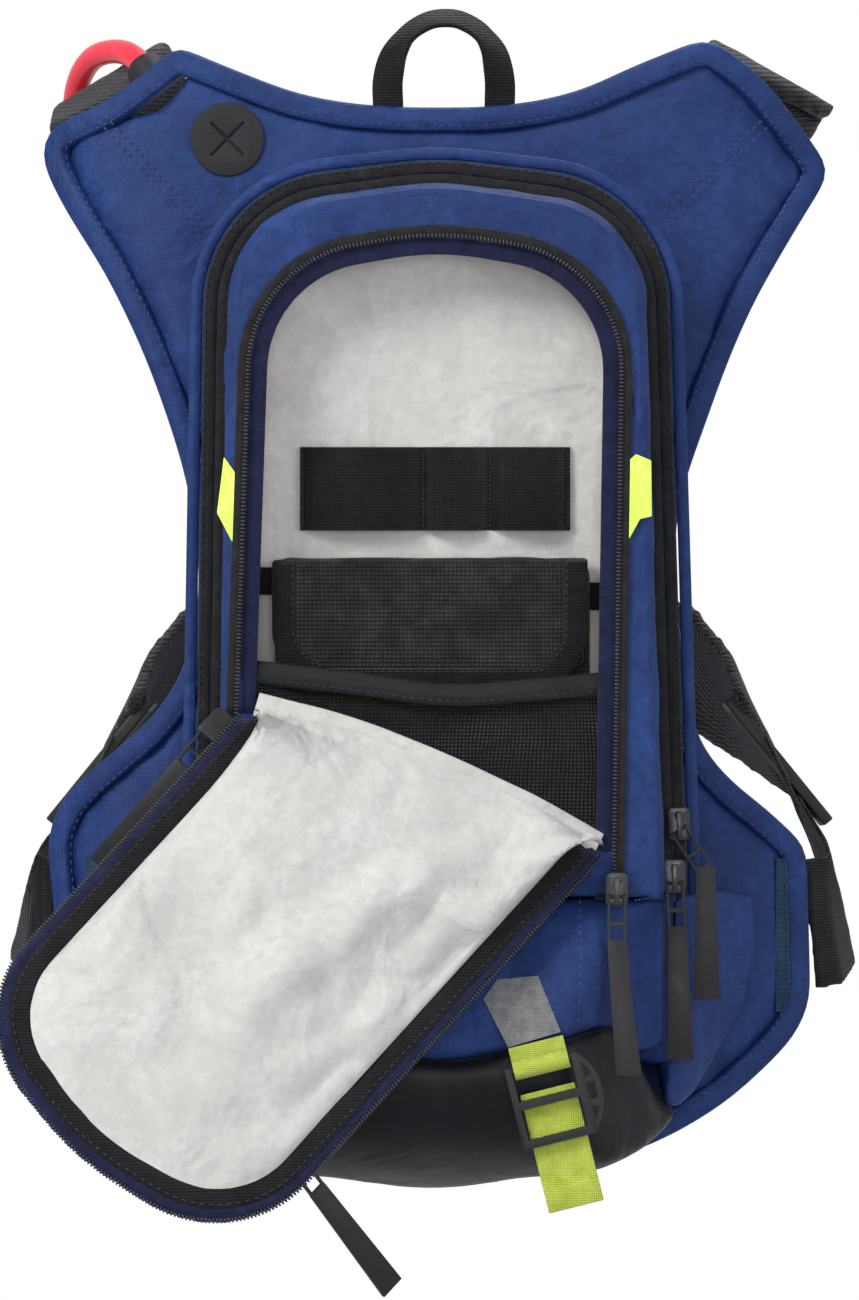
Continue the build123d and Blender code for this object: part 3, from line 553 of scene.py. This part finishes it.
def outer_only(work):
    """Keeps the faces that look outward, and closes the openings left by the hollow within."""
    tree = BVHTree.FromBMesh(work)
    inner = [f for f in work.faces
             if tree.ray_cast(f.calc_center_median() + f.normal * 0.0002, f.normal, 0.5)[0] is not None]
    bmesh.ops.delete(work, geom=inner, context="FACES")
    bmesh.ops.holes_fill(work, edges=[e for e in work.edges if e.is_boundary], sides=0)
    bmesh.ops.recalc_face_normals(work, faces=work.faces)


bag = solid_copy("bag_walls", ["main_bag"], 0.004, keep=lambda work: (
    bmesh.ops.remove_doubles(work, verts=work.verts, dist=0.00015), outer_only(work)))
smoothed(bag, 4)
puffed(bag, 3.5, 0.003)
wrinkled(bag, 0.0011, 40, 8.2)
finished(bag, BLUE, "pack", ["main_bag"])

# ---- tool pocket ----
# A stiffened frame of blue cloth round a mouth that the zip closes. Below it the same cloth is
# drawn over the bulging lower body.


def cut_at(work, height, keep_below):
    bmesh.ops.remove_doubles(work, verts=work.verts, dist=0.00002)
    geometry = work.verts[:] + work.edges[:] + work.faces[:]
    cut = bmesh.ops.bisect_plane(work, geom=geometry, plane_co=(0, 0, height), plane_no=(0, 0, 1),
                                 clear_outer=keep_below, clear_inner=not keep_below)
    rim = [e for e in cut["geom_cut"] if isinstance(e, bmesh.types.BMEdge) and e.is_boundary]
    bmesh.ops.holes_fill(work, edges=rim, sides=0)


def crisp(name, nodes, bevel, material, body, keep=None, segments=3):
    """A CAD node's own shape with its flat faces merged and its sharp edges rounded."""
    work = bmesh.new()
    for node in nodes:
        work.from_mesh(frame["nodes"][node].data)
    bmesh.ops.remove_doubles(work, verts=work.verts, dist=0.00002)
    if keep:
        keep(work)
    bmesh.ops.dissolve_limit(work, angle_limit=math.radians(2), verts=work.verts, edges=work.edges)
    sharp = [e for e in work.edges if len(e.link_faces) == 2 and e.calc_face_angle() > math.radians(35)]
    bmesh.ops.bevel(work, geom=sharp, offset=bevel, offset_type="OFFSET", segments=segments, affect="EDGES",
                    profile=0.5, clamp_overlap=True, material=-1)
    mesh = bpy.data.meshes.new(name)
    work.to_mesh(mesh)
    work.free()
    obj = placed(name, mesh, body, material)
    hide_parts(*nodes)
    return obj


frame_shell = solid_copy("pocket_walls", ["front_pocket"], 0.0016, keep=lambda work: cut_at(work, -0.106, False))
smoothed(frame_shell, 4)
wrinkled(frame_shell, 0.0006, 50, 4.4)
finished(frame_shell, BLUE, "pack", ["front_pocket"], levels=0)
frame_shell.data.materials.append(LINING)
for face in frame_shell.data.polygons:
    spot, out = face.center, face.normal
    inner_side = -0.072 < spot.x < 0.066 and spot.x * out.x < -abs(spot.x) * 0.4 and spot.z < 0.105
    inner_top = -0.060 < spot.x < 0.056 and 0.06 < spot.z < 0.134 and out.z < -0.3
    if -0.0700 < spot.y < -0.049 and (inner_side or inner_top):
        face.material_index = 1
lower = solid_copy("lower_front", ["front_pocket"], 0.0036, keep=lambda work: cut_at(work, -0.107, True))
smoothed(lower, 5)
puffed(lower, 4.5, 0.0008)
wrinkled(lower, 0.0016, 32, 11.0, stretch=(1, 1, 0.6))
finished(lower, BLUE, "pack", ["front_pocket"])

# ---- side pockets and bottom ----
# The lower sides are the same blue cloth; the bottom is a smooth coated black that wears better.
for side in ("left", "right"):
    pocket = solid_copy(f"side_cloth_{side}", [f"side_pocket_{side}"], 0.0034)
    smoothed(pocket, 4)
    puffed(pocket, 4.0, 0.003)
    wrinkled(pocket, 0.0013, 38, 2.0 if side == "left" else 6.5)
    finished(pocket, BLUE, "pack", [f"side_pocket_{side}"])
bottom = solid_copy("bottom_cloth", ["bottom_panel"], 0.0034)
smoothed(bottom, 4)
wrinkled(bottom, 0.0010, 30, 7.7)
finished(bottom, SMOOTH_BLACK, "pack", ["bottom_panel"])

# ---- main zip ----
# A covered coil zip: two charcoal tapes meet over the coil and leave only a seam between them.


def rounded(corners, radii, step=0.003):
    """A line through corners, each rounded to its radius, as points at even steps."""
    points = [corners[0]]
    for before, corner, after, radius in zip(corners, corners[1:], corners[2:], radii):
        to_before, to_after = (before - corner).normalized(), (after - corner).normalized()
        half = to_before.angle(to_after) / 2
        reach = radius / math.tan(half)
        centre = corner + (to_before + to_after).normalized() * radius / math.sin(half)
        start, end = corner + to_before * reach, corner + to_after * reach
        count = 12
        for i in range(count + 1):
            swept = (start - centre).lerp(end - centre, i / count)
            swept.length = radius
            points.append(centre + swept)
    points.append(corners[-1])
    return [point for point, _ in along(points, step)] + [corners[-1]]


def arch(grow, left, right, low, corner, crown, radius, depth, left_low=None):
    """The line of a zip: up the left side, over the crown and down the right, grown outwards."""
    middle = (left[1] + right[1]) / 2
    corners = [
        (left[0] - grow, left_low or low), (left[1] - grow, corner + grow), (middle, crown + grow),
        (right[1] + grow, corner + grow), (right[0] + grow, low),
    ]
    radii = [(radius + grow) / 1000, 2.4 * (radius + grow) / 1000, (radius + grow) / 1000]
    return rounded([Vector((x / 1000, -depth, z / 1000)) for x, z in corners], radii)


def main_line(grow, depth):
    return arch(grow, (-84.5, -80), (85, 77), -107, 145, 155, 44, depth)


FRONT = Vector((0, -1, 0))
for name, grow in (("outer", 2.35), ("inner", -2.35)):
    line = main_line(grow, 0.0472)
    tape = placed(f"main_zip_tape_{name}", ribbon(f"main_zip_tape_{name}", line, [FRONT] * len(line), 0.0045, 0.0020),
                  "pack", TAPE)
    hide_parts("main_zip_track")
    line = main_line(grow * 1.62, 0.0484)
    stitches(f"main_zip_stitches_{name}", line, [FRONT] * len(line), "pack", DARK_THREAD)
welt_line = main_line(7.4, 0.0436)
placed("main_zip_welt", ribbon("main_zip_welt", welt_line, [FRONT] * len(welt_line), 0.0044, 0.0040), "pack", BLUE)
lip_line = main_line(-8.4, 0.0694)
placed("pocket_rim_welt", ribbon("pocket_rim_welt", lip_line, [FRONT] * len(lip_line), 0.0050, 0.0050), "pack", BLUE)

# ---- pocket zip, pack side ----
# Half of an open coil zip: a row of black coil on a navy tape, sewn inside the pocket's mouth.


def pocket_line(grow, depth, left_low=-40, low=-107):
    return arch(grow, (-73.5, -68), (62.8, 66.2), low, 122, 133, 46, depth, left_low=left_low)


COIL = moulded("zip_coil", (0.010, 0.010, 0.011), (0.05, 0.05, 0.055), rough=0.25)


def coil(name, points, face, body, pitch=0.00135, width=0.0026, height=0.0014):
    """A row of zip coil turns across a line."""
    work = bmesh.new()
    for i, (place, forward) in enumerate(along(points, pitch)):
        across = forward.cross(face).normalized()
        matrix = Matrix((across, face, forward)).transposed().to_4x4()
        matrix.translation = place
        made = bmesh.ops.create_icosphere(work, subdivisions=1, radius=1)
        bmesh.ops.transform(work, verts=made["verts"], matrix=matrix @ Matrix.Diagonal(
            (width / 2, height / 2, pitch * 0.42, 1)))
    mesh = bpy.data.meshes.new(name)
    work.to_mesh(mesh)
    work.free()
    return placed(name, mesh, body, COIL)


coil_line = pocket_line(-0.6, 0.0738)
row = coil("pocket_coil", coil_line, FRONT, "pack")
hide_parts("pocket_zip_track")
under = pocket_line(1.4, 0.0728)
placed("pocket_coil_tape", ribbon("pocket_coil_tape", under, [FRONT] * len(under), 0.0036, 0.0014), "pack", TAPE)
tape_line = pocket_line(-4.0, 0.0716)
placed("pocket_tape", ribbon("pocket_tape", tape_line, [FRONT] * len(tape_line), 0.0066, 0.0012), "pack", NAVY)

# ---- lining ----
# The pocket's back wall is thin grey lining, sewn at its edges and loose between them.


def grid_sheet(name, low, high, depth, step, height, size, seed, body, material, thick=0.0):
    """An upright sheet between two (x, z) corners whose surface wanders in soft folds."""
    work = bmesh.new()
    across, up = round((high[0] - low[0]) / step), round((high[1] - low[1]) / step)
    bmesh.ops.create_grid(work, x_segments=across, y_segments=up, size=0.5)
    for vertex in work.verts:
        x = low[0] + (vertex.co.x + 0.5) * (high[0] - low[0])
        z = low[1] + (vertex.co.y + 0.5) * (high[1] - low[1])
        at = Vector((x, 0, z * 0.55)) * size + Vector((seed, 0, 0))
        folds = noise.noise(at + noise.noise_vector(at * 0.5)) + 0.5 * abs(noise.noise(at * 2.1))
        vertex.co = Vector((x, -depth - height * folds, z))
    bmesh.ops.recalc_face_normals(work, faces=work.faces)
    mesh = bpy.data.meshes.new(name)
    work.to_mesh(mesh)
    work.free()
    return placed(name, mesh, body, material)


back = grid_sheet("lining_back", (-0.072, -0.108), (0.066, 0.130), 0.0506, 0.002, 0.0018, 26, 5.0, "pack", LINING)
for vertex in back.data.vertices:
    rise = vertex.co.z - 0.090
    if rise > 0:
        half = 0.029 + math.sqrt(max(0.0, 0.040 ** 2 - rise ** 2))
        vertex.co.x = min(max(vertex.co.x, -0.003 - half), -0.003 + half)
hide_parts("pocket_lining")

# ---- tool loops ----
# One length of black elastic, sewn down at four places so that three loops stand off the lining.
loop_path, seams = [], [(-50.5, -49), (-7, -5), (17, 19), (45.5, 47)]
for first, second in zip(seams, seams[1:]):
    start, end = first[1], second[0]
    loop_path += [(first[0], 51.7), (first[1], 51.7)]
    loop_path += [(start + (end - start) * t, 51.7 + 4.9 * math.sin(math.pi * t) ** 0.6) for t in (0.12, 0.3, 0.5, 0.7, 0.88)]
loop_path += [(45.5, 51.7), (47, 51.7)]
loop_points = smooth_through([Vector((x / 1000, -d / 1000, 0.0403)) for x, d in loop_path], 0.0016)
ELASTIC = cloth("ribbed_elastic", (0.004, 0.004, 0.005), (0.016, 0.016, 0.018), threads=3000, weave=0.0005,
                creases=0.0002, rough=0.75, gaps=0.6)
loops = placed("elastic_loops", ribbon("elastic_loops", loop_points, [FRONT] * len(loop_points), 0.0302, 0.0018,
                                       flat=0.93), "pack", ELASTIC)
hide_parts("tool_loops")
for i, seam_x in enumerate((-49.6, -6.0, 18.0, 46.2)):
    run = [Vector((seam_x / 1000, -0.0528, z / 1000)) for z in range(27, 55)]
    stitches(f"loop_stitches_{i}", run, [FRONT] * len(run), "pack", DARK_THREAD, pitch=0.0016, length=0.0013)

# ---- tool pouch ----
# A flat pouch of coarse ballistic cloth with a bound flap over its mouth.
BALLISTIC = cloth("ballistic_cloth", (0.006, 0.006, 0.007), (0.040, 0.040, 0.043), threads=2100, weave=0.0006,
                  creases=0.0005, crease_size=50, rough=0.55, gaps=0.75)
pouch = solid_copy("pouch_cloth", ["pouch_body"], 0.0013)
smoothed(pouch, 3)
finished(pouch, BALLISTIC, "pack", ["pouch_body"], levels=0)
cover = solid_copy("pouch_cover", ["pouch_flap"], 0.0013)
smoothed(cover, 3)
wrinkled(cover, 0.0007, 45, 1.2)
finished(cover, BALLISTIC, "pouch_flap", ["pouch_flap"], levels=0)
flap_edge = rounded([Vector((x / 1000, -0.0633, z / 1000)) for x, z in (
    (-56.2, 14), (-56.2, -16), (-44, -28.5), (38, -28.5), (48.8, -16), (48.8, 14))], [0.014, 0.006, 0.006, 0.014], 0.002)
placed("pouch_cover_tape", ribbon("pouch_cover_tape", flap_edge, [FRONT] * len(flap_edge), 0.0085, 0.0016,
                                  wave=0.0003), "pouch_flap", ELASTIC)
inner_edge = rounded([Vector((x / 1000, -0.0642, z / 1000)) for x, z in (
    (-53, 14), (-53, -15), (-43, -25.4), (37, -25.4), (45.6, -15), (45.6, 14))], [0.012, 0.005, 0.005, 0.012], 0.002)
stitches("pouch_cover_stitches", inner_edge, [FRONT] * len(inner_edge), "pouch_flap", DARK_THREAD, pitch=0.0026)

# ---- mesh pocket ----
# Black knitted mesh across the lower part of the pocket, its top turned over and sewn as a hem.
MESH = cloth("black_mesh", (0.003, 0.003, 0.0035), (0.014, 0.014, 0.016), threads=2400, weave=0.0006,
             creases=0.0010, crease_size=40, rough=0.7, gaps=0.85)
tree = MESH.node_tree
shader = tree.nodes["Principled BSDF"]
woven = [n for n in tree.nodes if n.type == "GROUP" and n.node_tree == WEAVE][0]
holes = add(tree, "ShaderNodeMapRange", {0: woven.outputs["Height"], 1: 0.55, 2: 0.75, 3: 1.0, 4: 0.45})
tree.links.new(holes.outputs[0], shader.inputs["Alpha"])
hem_line = smooth_through([Vector((x / 1000, -d / 1000, z / 1000)) for x, d, z in (
    (-67, 68.5, -25.4), (-30, 70.5, -29.6), (5, 71, -33.6), (35, 70.6, -31.6), (60, 68.5, -29.6))], 0.002)
net = grid_sheet("mesh_panel", (-0.067, -0.104), (0.060, -0.030), 0.0676, 0.002, 0.0022, 30, 9.0, "pack", MESH)
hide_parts("mesh_pocket")
placed("mesh_hem", ribbon("mesh_hem", hem_line, [FRONT] * len(hem_line), 0.0085, 0.0018, wave=0.0006), "pack",
       SMOOTH_BLACK)
stitches("mesh_hem_stitches", [p + Vector((0, -0.0010, -0.0022)) for p in hem_line], [FRONT] * len(hem_line),
         "pack", DARK_THREAD)

# ---- pocket flap ----
# The pocket's front: blue cloth outside, loose grey lining inside, edged with black tape, then a
# navy tape and its half of the coil. It is shaped closed and turned down on its fold.
FOLD_AT = Vector((-0.005, -0.0748, -0.06325))
FOLD_ALONG = Vector((0.9321, 0, -0.3621))
OPEN = Matrix.Translation(FOLD_AT) @ Matrix.Rotation(math.radians(154), 4, FOLD_ALONG) @ Matrix.Translation(-FOLD_AT)
INWARD = OPEN.to_3x3() @ Vector((0, 1, 0))


def flap_line(margin, depth):
    """The flap's edge above the fold, drawn in by a margin and opened."""
    closed = pocket_line(-2.2 - margin, depth, left_low=-100)
    up = Vector((0.3621, 0, 0.9321))
    kept = [p for p in closed if (p - FOLD_AT).dot(up) > 0.0025]
    return [OPEN @ p for p in kept]


flap = solid_copy("flap_cloth", ["flap_panel", "flap_lining", "flap_binding", "flap_zip_track"], 0.0013)
smoothed(flap, 3)
wrinkled(flap, 0.0007, 40, 14.0)
finished(flap, BLUE, "flap", ["flap_panel", "flap_lining", "flap_binding", "flap_zip_track"],
         levels=0)

inner_edge = flap_line(11.0, 0.0730)
lining_sheet = bmesh.new()
hub = sum(inner_edge, Vector()) / len(inner_edge)
rows = 44
rim = inner_edge
fold_crest = smooth_through([Vector(p) / 1000 for p in (
    (-67, -77.5, -39.5), (-30, -79.5, -47.5), (5, -81, -61), (35, -80.5, -75.5), (58, -78, -88))], 0.002)
rings = []
for i, point in enumerate(rim):
    share = i / (len(rim) - 1)
    base = fold_crest[round(share * (len(fold_crest) - 1))]
    rings.append([lining_sheet.verts.new(base.lerp(point, k / rows)) for k in range(rows + 1)])
for one, two in zip(rings, rings[1:]):
    for k in range(rows):
        lining_sheet.faces.new((one[k], two[k], two[k + 1], one[k + 1]))
for ring in rings:
    for k, vertex in enumerate(ring):
        at = vertex.co * 24
        fall = Vector((at.x * 0.75 + at.z * 0.35, at.z * 0.9 - at.x * 0.5, 0))
        folds = noise.noise(fall + noise.noise_vector(fall * 0.7) * 0.9) + 0.5 * abs(noise.noise(fall * 2.2))
        edge_hold = min(1.0, 0.3 + 4 * k / rows, 5 * (rows - k) / rows)
        swell = 0.006 * math.sin(math.pi * min(1.0, k / rows)) ** 0.7
        vertex.co += INWARD * (0.0012 + swell + 0.0085 * (folds + 0.1) * edge_hold)
bmesh.ops.remove_doubles(lining_sheet, verts=lining_sheet.verts, dist=0.0002)
bmesh.ops.recalc_face_normals(lining_sheet, faces=lining_sheet.faces)
lining_mesh = bpy.data.meshes.new("flap_lining_cloth")
lining_sheet.to_mesh(lining_mesh)
lining_sheet.free()
lining = placed("flap_lining_cloth", lining_mesh, "flap", LINING)
fold_roll = smooth_through([Vector(p) / 1000 for p in (
    (-66, -72.5, -38), (-30, -74.5, -47.5), (5, -76, -61.5), (35, -75.5, -76), (56, -73, -88))], 0.002)
roll = placed("flap_fold_roll", ribbon(
    "flap_fold_roll", fold_roll, [Vector((0.1, -0.9, 0.35))] * len(fold_roll), 0.0105, 0.0058,
    wave=0.0012), "flap", LINING)
roll.data.materials.append(BLUE)
for face in roll.data.polygons:
    if face.normal.dot(INWARD) < -0.1:
        face.material_index = 1

edge_out = flap_line(8.2, 0.0729)
placed("flap_binding_tape", ribbon("flap_binding_tape", edge_out, [INWARD] * len(edge_out), 0.0082, 0.0022,
                                   wave=0.0006), "flap", ELASTIC)
edge_navy = flap_line(3.4, 0.0734)
placed("flap_navy_tape", ribbon("flap_navy_tape", edge_navy, [INWARD] * len(edge_navy), 0.0040, 0.0014), "flap", NAVY)
edge_coil = flap_line(0.6, 0.0738)
coil("flap_coil", edge_coil, INWARD, "flap")
edge_stitch = flap_line(5.4, 0.0716)
stitches("flap_binding_stitches", edge_stitch, [INWARD] * len(edge_stitch), "flap", DARK_THREAD)

# ---- bright patches ----
# Two patches of bright printed cloth, folded round the pocket's front edges.
for name, corners in (
    ("left", [(-77.4, 51.8), (-70.9, 42.8), (-73.1, 18.7), (-79.9, 31.7)]),
    ("right", [(66.9, 50), (70.2, 52.8), (75.6, 50.5), (75.8, 30.5), (71.6, 29.5), (66.9, 20.9)]),
):
    patch = bmesh.new()
    face = patch.faces.new([patch.verts.new((x / 1000, -0.0734, z / 1000)) for x, z in corners])
    thick = bmesh.ops.extrude_face_region(patch, geom=[face])
    lifted = [v for v in thick["geom"] if isinstance(v, bmesh.types.BMVert)]
    bmesh.ops.translate(patch, vec=(0, 0.0010, 0), verts=lifted)
    bmesh.ops.recalc_face_normals(patch, faces=patch.faces)
    bmesh.ops.bevel(patch, geom=patch.edges[:], offset=0.0003, segments=2, affect="EDGES", profile=0.5, material=-1)
    patch_mesh = bpy.data.meshes.new(f"patch_{name}")
    patch.to_mesh(patch_mesh)
    patch.free()
    made = placed(f"patch_{name}", patch_mesh, "pack", NEON, smooth=False)
    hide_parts("neon_patches")

# ---- panel seams ----
# Stitched seams where the cloth panels of the lower body meet.
for name, corners in (
    ("side_right", [(70, 79, -106.6), (83.5, 48.2, -106.6)]),
    ("front_right", [(50, 75, -107.5), (50, 87.5, -130), (49, 89, -150)]),
):
    seam_points = smooth_through([Vector((x / 1000, -d / 1000, z / 1000)) for x, d, z in corners], 0.002)
    stitches(f"seam_{name}", seam_points, [FRONT] * len(seam_points), "pack", THREAD, lift=0.002)

# ---- harness ----
# Foam straps faced with spacer mesh. Each shoulder strap and side elastic bends where the harness
# swings open; here it is left fixed in place, on no body.
for side in ("left", "right"):
    for part, voxel, finish, slot_name in (
        ("chest_strap", 0.0026, FOAM, "back_foam"), ("side_panel", 0.0024, FOAM, "back_foam"),
        ("side_web", 0.0011, ELASTIC, "black_webbing"),
    ):
        piece = solid_copy(f"{part}_cloth_{side}", [f"{part}_{side}"], voxel)
        smoothed(piece, 6)
        wrinkled(piece, 0.0005, 60, 3.0)
        finished(piece, finish, f"harness_{side}", [f"{part}_{side}"],
                 levels=1 if finish is FOAM else 0)
    for part, voxel, finish, slot_name in (
        ("shoulder_strap", 0.0022, FOAM, "back_foam"), ("side_elastic", 0.0011, ELASTIC, "black_webbing"),
    ):
        piece = solid_copy(f"{part}_cloth_{side}", [f"{part}_{side}"], voxel)
        smoothed(piece, 7)
        wrinkled(piece, 0.0005, 60, 3.0)
        finished(piece, finish, None, [f"{part}_{side}"], levels=0)
        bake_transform(piece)

# ---- moulded and small sewn parts ----
# Buckles, rings and clasps are moulded black plastic or rubber with rounded edges.
for node, radius, finish in (
    ("adjuster_left", 0.0007, PLASTIC), ("adjuster_right", 0.0007, PLASTIC), ("ladder_lock", 0.0005, PLASTIC),
    ("clasp_housing", 0.0008, PLASTIC), ("clasp_tongue", 0.0006, PLASTIC), ("clasp_button", 0.0005, PLASTIC),
    ("hose_port", 0.0004, RUBBER), ("hose_outlet", 0.0006, RUBBER), ("anchor_loop", 0.0004, YELLOW),
    ("lower_web", 0.0005, YELLOW), ("pouch_bands", 0.0003, ELASTIC), ("side_tag", 0.0002, TEAL),
    ("wing_strips", 0.0002, TEAL), ("reflective_tab", 0.0002, REFLECTIVE),
):
    crisp(f"{node}_made", [node], radius, finish, BODY_OF[node])
for name in ("main_upper", "main_lower", "pocket_right", "pocket_left", "stash"):
    crisp(f"{name}_slider_made", [f"{name}_slider"], 0.00025, SLIDER, f"{name}_slider", segments=2)
    crisp(f"{name}_pull_made", [f"{name}_pull"], 0.00025, PLASTIC, f"{name}_pull", segments=2)

# ---- haul loop ----
# Black webbing, folded to a narrow handle and sewn into the neck seam.
handle = smooth_through([Vector((x / 1000, -0.008, z / 1000)) for x, z in (
    (-19, 179), (-18.8, 192), (-15, 203), (-7, 210.5), (1.5, 212.8), (10, 211), (18, 204), (21.6, 193), (22, 179))], 0.002)
handle_out = []
for i, point in enumerate(handle):
    outwards = (point - Vector((0.0015, -0.008, 0.185))).normalized()
    lean = min(1.0, max(0.0, (point.z - 0.186) / 0.02))
    handle_out.append((FRONT * (1 - 0.55 * lean) + outwards * 0.65 * lean).normalized())
loop = placed("haul_webbing", ribbon("haul_webbing", handle, handle_out, 0.0112, 0.0020, flat=0.85), "pack", ELASTIC)
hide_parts("haul_loop")

# ---- light ----
# Soft light from three sides. The surroundings are plain white to the eye and dimmer as a light.
for name, where, size, power in (
    ("key", (-1.5, -1.5, 1.5), 0.9, 56), ("fill", (1.9, -1.5, 0.5), 1.4, 15),
    ("rim", (0.5, 0.9, 1.9), 1.1, 24), ("front", (0.1, -2.7, 0.2), 0.8, 15),
):
    lamp = bpy.data.objects.new(name, bpy.data.lights.new(name, "AREA"))
    lamp.data.shape = "SQUARE"
    lamp.data.size = size
    lamp.data.energy = power
    lamp.location = where
    lamp.rotation_euler = (Vector((0, 0, -0.02)) - lamp.location).to_track_quat("-Z", "Y").to_euler()
    scene.collection.objects.link(lamp)
world = bpy.data.worlds.new("studio")
world.use_nodes = True
world.node_tree.nodes["Background"].inputs["Color"].default_value = (0.93, 0.95, 1.0, 1)
dim = world.node_tree.nodes["Background"]
dim.inputs["Strength"].default_value = 0.60
seen = world.node_tree.nodes.new("ShaderNodeBackground")
seen.inputs["Color"].default_value = (1, 1, 1, 1)
ray = world.node_tree.nodes.new("ShaderNodeLightPath")
either = world.node_tree.nodes.new("ShaderNodeMixShader")
world.node_tree.links.new(ray.outputs["Is Camera Ray"], either.inputs[0])
world.node_tree.links.new(dim.outputs[0], either.inputs[1])
world.node_tree.links.new(seen.outputs[0], either.inputs[2])
world.node_tree.links.new(either.outputs[0], world.node_tree.nodes["World Output"].inputs[0])
scene.world = world
